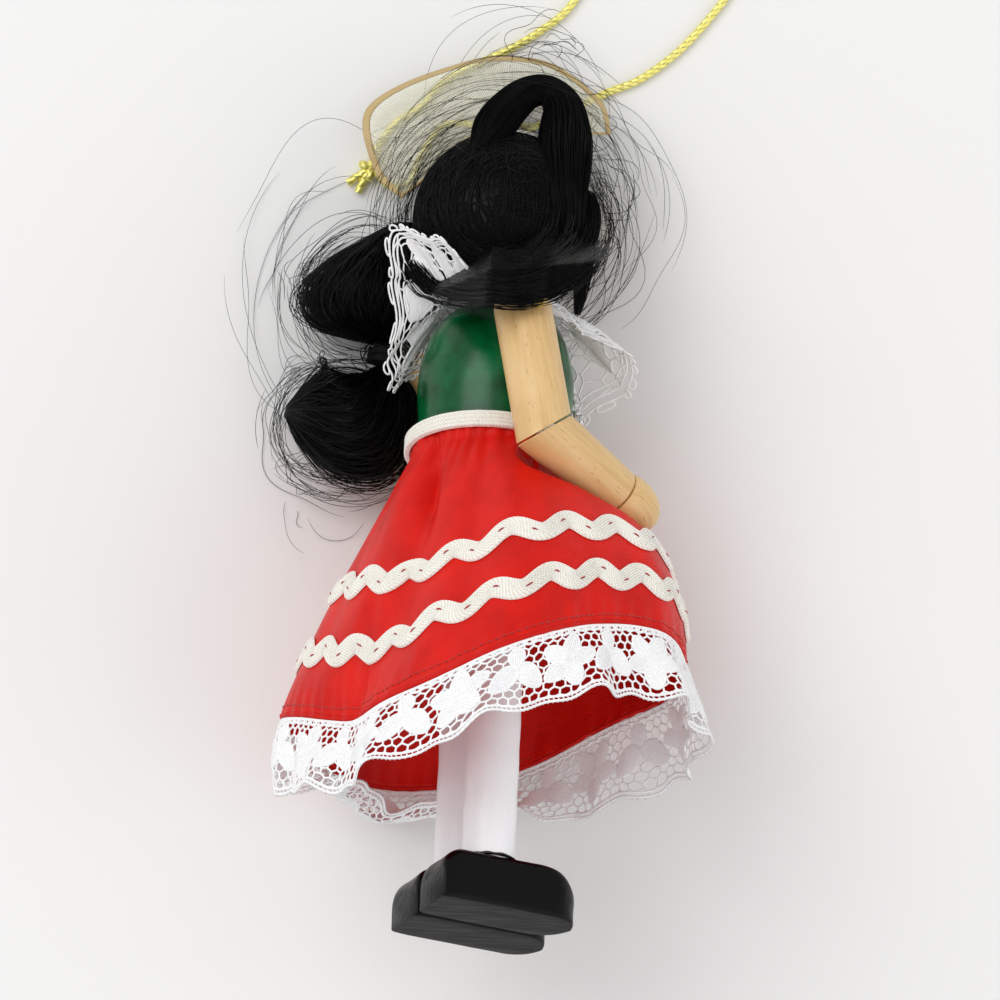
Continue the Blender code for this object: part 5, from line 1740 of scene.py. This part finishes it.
def ribbon_point(u, v):
    """A point of the ribbon: u runs along its outer edge, v from the gather out to that edge."""
    spot = u * (len(RIBBON_LINE) - 1)
    index = min(int(spot), len(RIBBON_LINE) - 2)
    edge = RIBBON_LINE[index].lerp(RIBBON_LINE[index + 1], spot - index)
    gather = RIBBON_GATHER + Vector(((u - 0.5) * GATHER_WIDTH, 0, 0))
    point = gather.lerp(edge, v)
    hold = 1.35 - 0.6 * exp(-(((u - 0.46) / 0.15) ** 2))
    point.z = gather.z + (edge.z - gather.z) * (1 - (1 - min(v, 1)) ** hold)
    flute = sin(2 * pi * RIBBON_FLUTES * u)
    point.z += 0.45 * flute * v**2 * (1.5 - v) + 0.5 * sin(pi * v)
    point.z += 0.25 * noise.noise(Vector((14 * u, 3 * v, 5)))
    point.z += 0.26 * sin(2 * pi * RIBBON_PLEATS * u) * sin(pi * min(v, 1)) ** 0.8
    return off_cap(standing(*point), RIBBON_THICKNESS / 2)


# Sheer nylon: almost clear, pale cream, a little more solid where the threads crowd.
sheer, tree, shader = start_finish("sheer_nylon", Base_Color=tone("#f4f1d6"), Roughness=0.45)
place = add(tree, "ShaderNodeUVMap", uv_map="cloth")
mesh_threads = add(
    tree,
    "ShaderNodeTexWave",
    {"Vector": place.outputs["UV"], "Scale": wave_scale(0.35), "Distortion": 0.5},
    wave_type="BANDS",
    bands_direction="X",
)
cover = add(
    tree, "ShaderNodeMapRange", {"Value": mesh_threads.outputs["Fac"], "To Min": 0.16, "To Max": 0.30}
)
feed(tree, shader, Alpha=cover.outputs["Result"])
ribbon_mesh = cloth(
    "ribbon_sheer", ribbon_point, 300, 44, 0.06, (RIBBON_LENGTH * MM, RIBBON_WIDTH * MM)
)
ribbon = new_piece("ribbon_sheer", ribbon_mesh, sheer)
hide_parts("head_ribbon")

# Woven gold edge: a tan metallic band, 1 mm wide, along the outer edge and both ends.
gold_edge, tree, shader = start_finish("woven_gold_edge", Metallic=0.1, Roughness=0.6)
place = add(tree, "ShaderNodeUVMap", uv_map="cloth")
twill = add(
    tree,
    "ShaderNodeTexWave",
    {"Vector": place.outputs["UV"], "Scale": wave_scale(0.3), "Distortion": 0.6},
    wave_type="BANDS",
    bands_direction="DIAGONAL",
)
edge_tone = add(
    tree, "ShaderNodeValToRGB", {"Fac": twill.outputs["Fac"]}, stops=((0.0, "#b59a66"), (1.0, "#d2b987"))
)
feed(tree, shader, Base_Color=edge_tone.outputs["Color"])
edge_mesh = cloth(
    "ribbon_gold_edge", lambda u, v: ribbon_point(u, 0.945 + 0.055 * v), 400, 4, 0.22, (120 * MM, 1 * MM)
)
edge_band = new_piece("ribbon_gold_edge", edge_mesh, gold_edge)
for end_name, start in (("first", 0.0), ("second", 0.985)):
    end_mesh = cloth(
        f"ribbon_{end_name}_end",
        lambda u, v, start=start: ribbon_point(start + 0.015 * u, 0.12 + 0.82 * v),
        3,
        60,
        0.2,
        (1 * MM, 20 * MM),
    )
    end_band = new_piece(f"ribbon_{end_name}_end", end_mesh, gold_edge)

# Head: turned beech ball, bored for the neck dowel and the screw eye; the dowel is glued into
# it and into the torso.
HEAD_RADIUS = 12.5
NECK_TOP = HEAD_CENTRE - HEAD_RADIUS + NECK_SEAT
ball_outline = [
    (HEAD_RADIUS * sin(pi * step / 64), HEAD_CENTRE - HEAD_RADIUS * cos(pi * step / 64)) for step in range(65)
]
head_mesh = drilled(
    lathe("head_ball", ball_outline, 96),
    [
        ((0, 0, HEAD_CENTRE - HEAD_RADIUS - 1), (0, 0, 1), NECK_DIAMETER / 2 + GAP, NECK_SEAT + 1 + GAP),
        ((0, 0, EYE_SHANK_TIP - GAP), (0, 0, 1), EYE_WIRE / 2 + GAP, 8),
    ],
)
head = new_piece("head_ball", lay(grain_map(head_mesh, (0, 0, HEAD_CENTRE), (0, 0, 1))), beech)
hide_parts("head")
neck_outline = [(0, TORSO_TOP - NECK_SEAT)] + rounded_end(NECK_DIAMETER / 2, TORSO_TOP - NECK_SEAT, -1, 0.3)
neck_outline += rounded_end(NECK_DIAMETER / 2, NECK_TOP, 1, 0.3) + [(0, NECK_TOP)]
neck_mesh = grain_map(lathe("neck", neck_outline, 48), (0, 0, TORSO_TOP), (0, 0, 1))
neck = new_piece("neck_dowel_turned", lay(neck_mesh), beech)
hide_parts("neck_dowel")

# Face: drops of enamel, each a thin lens on the ball: black eyes and brows, red lips and pink
# cheeks, slightly mottled by the brush.
PAINT_SINK = -0.03      # how far a drop's back lies inside the ball
face_paints = {}
for paint_name, code, shine in (
    ("black_face_enamel", "#0c0c0e", 0.2),
    ("red_face_enamel", "#b3202a", 0.3),
    ("pink_face_blush", "#e59a86", 0.7),
):
    face_paints[paint_name], tree, shader = start_finish(paint_name, Roughness=shine)
    place = add(tree, "ShaderNodeTexCoord")
    mottle = add(
        tree, "ShaderNodeTexNoise", {"Vector": place.outputs["Object"], "Scale": 1500.0, "Detail": 2.0}
    )
    paint_tone = add(tree, "ShaderNodeValToRGB", {"Fac": mottle.outputs["Fac"]})
    paint_tone.color_ramp.elements[0].color = [value * 0.85 for value in tone(code)[:3]] + [1]
    paint_tone.color_ramp.elements[1].color = tone(code)
    feed(tree, shader, Base_Color=paint_tone.outputs["Color"])


def paint_drop(name, across, rise, half_width, half_height, thickness, finish, bow=0.0):
    """An oval of paint on the ball's front; bow bends it down at its ends."""
    around = 28
    rings = 5
    points = []

    def on_ball(y, z, lift):
        radius = HEAD_RADIUS + lift
        return on_doll((radius**2 - y**2 - z**2) ** 0.5, y, HEAD_CENTRE + z)

    for top in (True, False):
        points.append(on_ball(across, rise, thickness if top else PAINT_SINK))
        for ring in range(1, rings + 1):
            share = ring / rings
            lift = thickness * (1 - share**2) ** 0.5 if top else PAINT_SINK
            for step in range(around):
                turn = 2 * pi * step / around
                y = half_width * share * cos(turn)
                z = half_height * share * sin(turn) + bow * (y / half_width) ** 2
                points.append(on_ball(across + y, rise + z, lift))
    drop = new_piece(name, mesh_from(name, points, lens_faces(0, around, rings)), face_paints[finish])


for side, sign in SIDES:
    paint_drop(side + "_eye", -sign * 2.9, 0.6, 0.72, 0.95, 0.16, "black_face_enamel")
    paint_drop(side + "_brow", -sign * 2.9, 2.9, 1.15, 0.16, 0.05, "black_face_enamel", bow=-0.35)
    paint_drop(side + "_cheek", -sign * 4.1, -2.9, 1.25, 1.1, 0.02, "pink_face_blush")
paint_drop("lips", 0.0, -4.3, 1.25, 0.30, 0.10, "red_face_enamel", bow=0.45)

# Hair cap: long black nylon doll hair, glued over the ball and left open for the face. A thin
# closed shell lies under the strands, which are wound round the head in two directions.
FACE_HALF_WIDTH = 6.6
FACE_HALF_HEIGHT = 9.2
FACE_DROP = 1.0
STRAND = 0.15
CAP_STRANDS = 1150
CAP_AROUND = 96
CAP_RINGS = 40
NECK_OPEN = -0.955      # height of a direction from the head's middle where the neck comes out
EYE_OPEN = 0.996        # the same for the screw eye

# Black nylon hair: solid dyed fibre, deep black, glossy along the strand.
nylon_hair = mottled(
    "black_nylon_hair",
    700.0,
    2.0,
    (0.0, "#010101"),
    (1.0, "#0a0a0b"),
    (0.3, 0.0002),
    Roughness=0.36,
    Specular_IOR_Level=0.14,
)


def cap_point(turn, share, radius):
    """Over the head from the face opening, share 0, to the back of the head, share 1."""
    y = FACE_HALF_WIDTH * cos(turn)
    z = FACE_HALF_HEIGHT * sin(turn) - FACE_DROP
    edge = Vector(((HEAD_RADIUS**2 - y**2 - z**2) ** 0.5, y, z)).normalized()
    back = Vector((-1, 0, 0))
    full = edge.angle(back)
    bend = full * share
    out = (edge * sin(full - bend) + back * sin(bend)) / sin(full) if share < 1 else back
    lump = 0.10 * noise.noise(out * 6)
    return out * (radius + lump) + Vector((0, 0, HEAD_CENTRE))


cap_points = []
cap_faces = []
for radius in (HAIR_RADIUS - 0.15, HEAD_RADIUS + GAP):
    for ring in range(CAP_RINGS):
        for step in range(CAP_AROUND):
            spot = cap_point(2 * pi * step / CAP_AROUND, ring / CAP_RINGS, radius)
            cap_points.append(on_doll(*spot))
    cap_points.append(on_doll(*cap_point(0, 1, radius)))
shell = CAP_AROUND * CAP_RINGS + 1
for step in range(CAP_AROUND):
    after = (step + 1) % CAP_AROUND
    for layer, way in ((0, 1), (shell, -1)):
        for ring in range(CAP_RINGS - 1):
            low = layer + ring * CAP_AROUND
            high = low + CAP_AROUND
            cap_faces.append((low + step, low + after, high + after, high + step)[::way])
        last = layer + (CAP_RINGS - 1) * CAP_AROUND
        cap_faces.append((last + step, last + after, layer + shell - 1)[::way])
    cap_faces.append((step, shell + step, shell + after, after))
cap_mesh = facing_out(mesh_from("hair_cap_base", cap_points, cap_faces))
cap_mesh.transform(LAY_ON_FLOOR.inverted())
cap_mesh = drilled(
    cap_mesh,
    [
        ((0, 0, HEAD_CENTRE - HAIR_RADIUS - 2), (0, 0, 1), NECK_DIAMETER / 2 + 2 * GAP, 6),
        ((0, 0, HEAD_CENTRE + HEAD_RADIUS - 2), (0, 0, 1), EYE_WIRE / 2 + 2 * GAP, 6),
    ],
)
hair_cap = new_piece("hair_cap_base", lay(cap_mesh), nylon_hair)
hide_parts("hair_cap")


def clear_of_face(out):
    """Whether a direction from the head's centre misses the face opening and the neck."""
    across = out.y * HAIR_RADIUS / (FACE_HALF_WIDTH + 0.4)
    rise = (out.z * HAIR_RADIUS + FACE_DROP) / (FACE_HALF_HEIGHT + 0.4)
    over_face = out.x > 0 and across**2 + rise**2 < 1
    return not over_face and NECK_OPEN <= out.z <= EYE_OPEN


def hairs(name, lines, thickness=STRAND):
    """Lines of points as hairs that thin out at their ends."""
    made = threads(name, lines, thickness, nylon_hair, sides=3, thin_ends=True)


chance = Random(7)
cap_strands = []
for index in range(CAP_STRANDS):
    side = -1 if index % 3 else 1
    if index % 5 < 3:
        axis = Vector((chance.gauss(0, 0.16), side, chance.gauss(0, 0.16))).normalized()
        polar = radians(chance.uniform(8, 92))
    else:
        axis = Vector((chance.gauss(0, 1), chance.gauss(0, 0.5), chance.gauss(0, 0.25))).normalized()
        polar = radians(chance.uniform(60, 100))
    first_side = axis.orthogonal().normalized()
    second_side = axis.cross(first_side)
    start = chance.uniform(0, 2 * pi)
    span = radians(chance.uniform(60, 190))
    lift = HAIR_RADIUS + chance.uniform(-0.12, 0.16)
    count = max(round(span * polar * 8), 8)
    run = []
    for step in range(count + 1):
        turn = start + span * step / count
        drift = polar + 0.05 * sin(3 * turn + index)
        out = axis * cos(drift) + (first_side * cos(turn) + second_side * sin(turn)) * sin(drift)
        if clear_of_face(out):
            run.append(on_doll(*(out * lift + Vector((0, 0, HEAD_CENTRE)))))
        else:
            cap_strands.append(run)
            run = []
    cap_strands.append(run)
hairs("hair_cap_strands", [run for run in cap_strands if len(run) > 3])


# Crown loop: a thick lock that stands up from the crown, bends over and runs down beside the
# face. It is combed smooth, so its strands lie close round a closed core.
def bundle(stations, count, seed, spread, least, most):
    """Strands that run together along stations of (x, y, height, radius) of the lying doll,
    from the least to the most of the radius out."""
    chance = Random(seed)
    curve = through(stations, 6)
    ways = frames_along([point.xyz for point in curve])
    found = []
    for _ in range(count):
        turn = chance.uniform(0, 2 * pi)
        far = chance.uniform(least, most)
        drift = chance.uniform(-0.6, 0.6)
        first = chance.randrange(0, 4)
        last = len(curve) - chance.randrange(0, 4)
        phase = chance.uniform(0, 2 * pi)
        line = []
        for index in range(first, last):
            side, other = ways[index]
            share = index / (len(curve) - 1)
            angle = turn + drift * share
            bulge = 1 + spread * sin(pi * share) * (0.6 + 0.4 * sin(5 * share + phase))
            out = (side * cos(angle) + other * sin(angle)) * curve[index].w * far * bulge
            spot = curve[index].xyz + out
            line.append(on_floor(spot.x, spot.y, max(spot.z, STRAND / 2 + 0.05)))
        found.append(line)
    return found


def smooth_tube(name, stations, share, steps=8, around=28):
    """The closed core of a lock of hair under its strands."""
    curve = through(stations, steps)
    ways = frames_along([point.xyz for point in curve])
    points = []
    for point, (side, other) in zip(curve, ways):
        for step in range(around):
            turn = 2 * pi * step / around
            spot = point.xyz + (side * cos(turn) + other * sin(turn)) * max(point.w * share, 0.1)
            points.append(on_floor(spot.x, spot.y, max(spot.z, 0.1)))
    made = new_piece(name, mesh_from(name, points, tube_faces(len(curve), around)), nylon_hair)
    return made


CROWN_LOOP = (
    (-4.3, 118.6, 20.9, 1.4),
    (-2.3, 122.8, 18.9, 2.9),
    (0.2, 126.5, 16.8, 2.7),
    (2.9, 129.1, 15.0, 2.3),
    (5.8, 129.6, 14.5, 2.2),
    (8.1, 127.1, 14.8, 2.9),
    (8.7, 122.5, 16.2, 3.8),
    (8.8, 117.6, 19.8, 3.8),
    (9.1, 112.6, 22.6, 3.1),
    (9.6, 107.4, 22.4, 2.3),
    (10.2, 102.4, 19.6, 0.9),
)
crown_core = smooth_tube("crown_loop_core", CROWN_LOOP, 0.8)
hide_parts("crown_loop")
hairs("crown_loop_strands", bundle(CROWN_LOOP, 420, 31, 0.06, 0.78, 1.04))


# Face locks: a thin lock combed down on each side of the face to the collar, looser than the
# crown loop. Their stations are given on the standing doll.
def lying_station(x, y, z, radius):
    """A station of the standing doll as one of the lying doll."""
    spot = LAY_DOWN @ off_cap((x, y, z), radius)
    return spot.x, spot.y, spot.z + REST_DEPTH, radius


RIGHT_LOCK = [
    lying_station(*station)
    for station in (
        (8.6, -11.6, 114.6, 0.7),
        (8.9, -11.2, 111.0, 1.1),
        (9.0, -10.4, 106.0, 1.2),
        (9.4, -8.6, 100.5, 1.0),
        (9.6, -7.2, 96.5, 0.5),
    )
]
LEFT_LOCK = [
    lying_station(*station)
    for station in (
        (12.4, 7.4, 115.0, 0.6),
        (12.2, 8.2, 111.5, 1.0),
        (11.2, 8.9, 106.5, 1.1),
        (10.2, 8.0, 101.5, 0.9),
        (9.8, 7.0, 97.5, 0.5),
    )
]
for name, stations, seed in (("right_face_lock", RIGHT_LOCK, 41), ("left_face_lock", LEFT_LOCK, 43)):
    core = smooth_tube(name + "_core", stations, 0.7, 6, 18)
    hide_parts(name)
    hairs(name + "_strands", bundle(stations, 90, seed, 0.25, 0.5, 1.15))

# Tail: two puffs of teased hair, drawn in by a tie of black thread. Each puff's rings face
# one way at its tie and turn to its own axis further out; the last value is that turn.
TAIL_UPPER = (
    (-14.6, 109.0, 11.6, 1.8, 0.0),
    (-16.6, 106.4, 10.4, 3.8, 0.0),
    (-19.0, 102.8, 9.2, 6.2, 0.0),
    (-20.3, 98.8, 8.7, 7.6, 0.0),
    (-20.6, 95.4, 8.4, 7.3, 0.0),
    (-19.8, 92.8, 8.3, 5.4, 0.0),
    (-17.3, 91.4, 8.2, 2.8, 0.0),
    (-16.8, 90.9, 8.2, 1.9, 0.0),
)
TAIL_LOWER = (
    (-16.8, 87.4, 8.2, 1.9, 0.0),
    (-16.8, 86.0, 8.2, 3.2, 5.0),
    (-17.4, 83.8, 8.2, 5.4, 20.0),
    (-18.8, 80.6, 8.2, 7.4, 42.0),
    (-20.8, 78.4, 8.2, 7.9, 60.0),
    (-24.4, 78.6, 7.9, 7.0, 82.0),
    (-27.8, 79.8, 7.0, 4.9, 92.0),
    (-30.2, 80.4, 5.9, 2.6, 96.0),
    (-31.4, 80.7, 5.2, 0.8, 98.0),
)


def puff_spot(curve, share, turn, far):
    """A point of a puff: share along it, turn round it, far from its middle, 1 at its skin."""
    place = share * (len(curve) - 1)
    index = min(int(place), len(curve) - 2)
    here = curve[index].lerp(curve[index + 1], place - index)
    lean = radians(here[4])
    across = Vector((cos(lean), -sin(lean), 0))
    return Vector(here[:3]) + (across * cos(turn) + Vector((0, 0, 1)) * sin(turn)) * here[3] * far


PUFF_STRANDS = 520
PUFF_FRINGE = 220


def puff(name, node, stations, seed):
    """A puff: a closed core, combed strands over it and a fringe of curls standing off it."""
    curve = through(stations, 6)
    around = 40
    rings = 44
    points = []
    for ring in range(rings + 1):
        for step in range(around):
            turn = 2 * pi * step / around
            spot = puff_spot(curve, ring / rings, turn, 0.93)
            spot += 0.22 * noise.noise_vector(spot * 0.45)
            points.append(on_floor(spot.x, spot.y, max(spot.z, 0.12)))
    faces = [face[::-1] for face in tube_faces(rings + 1, around)]
    core = new_piece(name + "_core", mesh_from(name + "_core", points, faces), nylon_hair)
    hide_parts(node)
    chance = Random(seed)
    strands = []
    for index in range(PUFF_STRANDS + PUFF_FRINGE):
        loose = index >= PUFF_STRANDS
        turn = chance.uniform(0, 2 * pi)
        drift = chance.uniform(-0.9, 0.9) * (1.6 if loose else 1)
        far = chance.uniform(0.94, 1.04)
        stand = chance.uniform(0.08, 0.55) if loose else chance.uniform(0, 0.05)
        first = chance.uniform(0, 0.15)
        last = chance.uniform(0.8, 1.0)
        phase = chance.uniform(0, 2 * pi)
        line = []
        for step in range(23):
            share = first + (last - first) * step / 22
            bulge = far + stand * sin(pi * step / 22) * (0.8 + 0.3 * sin(4 * share + phase))
            spot = puff_spot(curve, share, turn + drift * (share - 0.5), bulge)
            line.append(on_floor(spot.x, spot.y, max(spot.z, 0.14)))
        strands.append(line)
    hairs(name + "_strands", strands)


puff("tail_upper_puff", "tail_upper", TAIL_UPPER, 51)
puff("tail_lower_puff", "tail_lower", TAIL_LOWER, 53)

# Tie: black sewing thread wound ten times round the tail between its puffs, with the hair it
# holds as a core.
TAIL_TIE = Vector((-16.8, 89.2, 8.2))
TIE_TURNS = 10
TIE_RADIUS = 2.35
TIE_LENGTH = 2.1
TIE_THREAD = 0.42

# Black polyester thread: matt, near black, lighter where its plies catch the light.
black_thread = mottled(
    "black_sewing_thread",
    3500.0,
    2.0,
    (0.0, "#060606"),
    (1.0, "#1c1c1e"),
    Roughness=0.6,
    Specular_IOR_Level=0.1,
)
tie_line = []
for step in range(241):
    turn = 2 * pi * TIE_TURNS * step / 240
    there_and_back = 1 - abs(step / 120 - 1)
    radius = TIE_RADIUS + 0.35 * sin(pi * step / 240)
    y = TAIL_TIE.y + TIE_LENGTH * (0.5 - there_and_back)
    tie_line.append(on_floor(TAIL_TIE.x + radius * cos(turn), y, TAIL_TIE.z + radius * sin(turn)))
tie = threads("tail_tie_turns", [tie_line], TIE_THREAD, black_thread, sides=6)
tie_core = wire(
    "tail_tie_core",
    [on_floor(TAIL_TIE.x, TAIL_TIE.y + shift, TAIL_TIE.z) for shift in (1.25, 0.6, 0, -0.6, -1.25)],
    2.2 * MM,
    black_thread,
    28,
)
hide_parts("tail_tie")

# Nape: long hair combed down over the back of the head and over the top of the right shoulder,
# clear of the arm wherever that swings.
HEAD_SPOT = Vector((0.0, 109.55, 13.5))
SHOULDER_X = 3.5
SHOULDER_Y = 93.2
ARM_TOP = 38.4
NAPE_STRANDS = 900


def nape_height(x, reach):
    """How high the hair lies at this reach from the head's middle: on the head, then over the arm."""
    on_head = HEAD_SPOT.z + max(13.9**2 - reach**2, 1) ** 0.5
    over_arm = 20 + 19.2 * exp(-((abs(x - SHOULDER_X) / 7.5) ** 3))
    share = min(max((reach - 6) / 7, 0), 1)
    return on_head + (over_arm - on_head) * share**2 * (3 - 2 * share)


def over_sweep(x, y):
    """The height that keeps hair above the right arm wherever it swings."""
    aside = x - SHOULDER_X
    ahead = y - SHOULDER_Y
    clear = ARM_TOP - 0.455 * aside - 0.2125 * ahead + 0.22 * hypot(aside, ahead)
    beside = max(0, -1.5 - x) + max(0, y - 98.4 - 0.18 * aside)
    return clear - 2.5 * beside


chance = Random(61)
nape = []
for index in range(NAPE_STRANDS):
    loose = index % 18 == 0
    reach = chance.uniform(16.0, 18.0) if loose else 6.0 + 10.8 * chance.random() ** 0.6
    middle = radians(chance.uniform(-150, -32))
    span = radians(chance.uniform(22, 75))
    drift = chance.uniform(-0.5, 0.5)
    rise = chance.uniform(-0.1, 0.5)
    line = []
    for step in range(15):
        angle = middle + span * (step / 14 - 0.5)
        far = reach + drift * (step / 14 - 0.5) + 0.15 * sin(9 * angle + index)
        x = HEAD_SPOT.x + far * cos(angle)
        y = HEAD_SPOT.y + far * sin(angle)
        line.append(on_floor(x, y, max(nape_height(x, far), over_sweep(x, y)) + max(rise, 0)))
    nape.append(line)
hairs("nape_strands", nape)

# Loose curls: single springy hairs that have come out of the head, the tail and its tie and lie
# round them on the floor or stand a little off it.
CURL = 0.1
TIE_CURL = 0.14
STRAY = 0.08
chance = Random(97)


def nest(middle, wide, long, start_low, start_high, out_low, out_high, low, high, count, wave=0.03):
    """Hairs that go round a lock of the lying doll, from out_low to out_high times its half width
    and length, start_low to start_high degrees round it and low to high above the floor."""
    found = []
    for _ in range(count):
        start = radians(chance.uniform(start_low, start_high))
        span = radians(chance.uniform(40, 150)) * chance.choice((-1, 1))
        out = out_low + (out_high - out_low) * chance.random() ** 1.7
        spiral = chance.uniform(-0.16, 0.16)
        kink = wave * chance.uniform(0.3, 1.6)
        beat = chance.uniform(2.0, 7.0)
        phase = chance.uniform(0, 2 * pi)
        shift = (chance.gauss(0, 0.7), chance.gauss(0, 0.7))
        height = chance.uniform(low, high)
        line = []
        for step in range(25):
            share = step / 24 - 0.5
            angle = start + span * share
            far = out * (1 + spiral * share + kink * sin(beat * angle + phase))
            x = middle[0] + shift[0] + wide * far * cos(angle)
            y = middle[1] + shift[1] + long * far * sin(angle)
            line.append(on_floor(x, y, max(height + 1.6 * sin(2 * angle + phase), 0.15)))
        found.append(line)
    return found


loose = nest((0, 109.5), 13.6, 13.8, 95, 200, 1.03, 1.5, 3, 20, 62)
loose += nest((0.5, 110.5), 13.8, 14.5, -60, 62, 1.03, 1.42, 0.8, 5.5, 66, 0.06)
loose += nest((1, 112), 13.5, 15, 50, 110, 1.25, 1.75, 1, 6, 16)
loose += nest((-20.2, 98.5), 7.8, 8.2, 70, 285, 1.04, 1.6, 1, 13, 52, 0.04)
loose += nest((-22.6, 78.3), 8.9, 8.0, 60, 320, 1.04, 1.55, 1, 13, 54, 0.04)
for spot, size, count in (
    ((-13, 121), 6.5, 26),
    ((-7, 126), 4.6, 12),
    ((10, 127), 5.0, 16),
    ((14, 117), 5.2, 26),
    ((13.5, 108), 4.2, 16),
    ((-13, 108), 4.4, 14),
    ((-27, 102), 5.0, 16),
    ((-29, 86), 4.0, 12),
    ((-26, 72), 4.6, 14),
    ((6, 137), 5.5, 10),
):
    loose += nest(spot, size, size * 0.8, 0, 360, 0.35, 1.25, 1, 5.5, count, 0.12)
hairs("loose_curls", loose, CURL)
strays = nest((2, 128), 12, 13, 20, 170, 0.7, 1.5, 0.5, 4, 10, 0.05)
strays += nest((-22, 100), 15, 22, 110, 250, 0.75, 1.25, 0.3, 3, 12, 0.06)
strays += nest((8, 112), 17, 18, -60, 70, 0.9, 1.15, 0.3, 4, 9, 0.06)
strays += nest((-24, 66), 8, 6, 0, 360, 0.6, 1.3, 0.2, 1.5, 5, 0.1)
loose_at_tie = nest((-16.6, 89.2), 3.2, 2.6, 0, 360, 0.5, 1.3, 7, 12, 60, 0.12)
hairs("tie_curls", loose_at_tie, TIE_CURL)
hairs("stray_hairs", strays, STRAY)
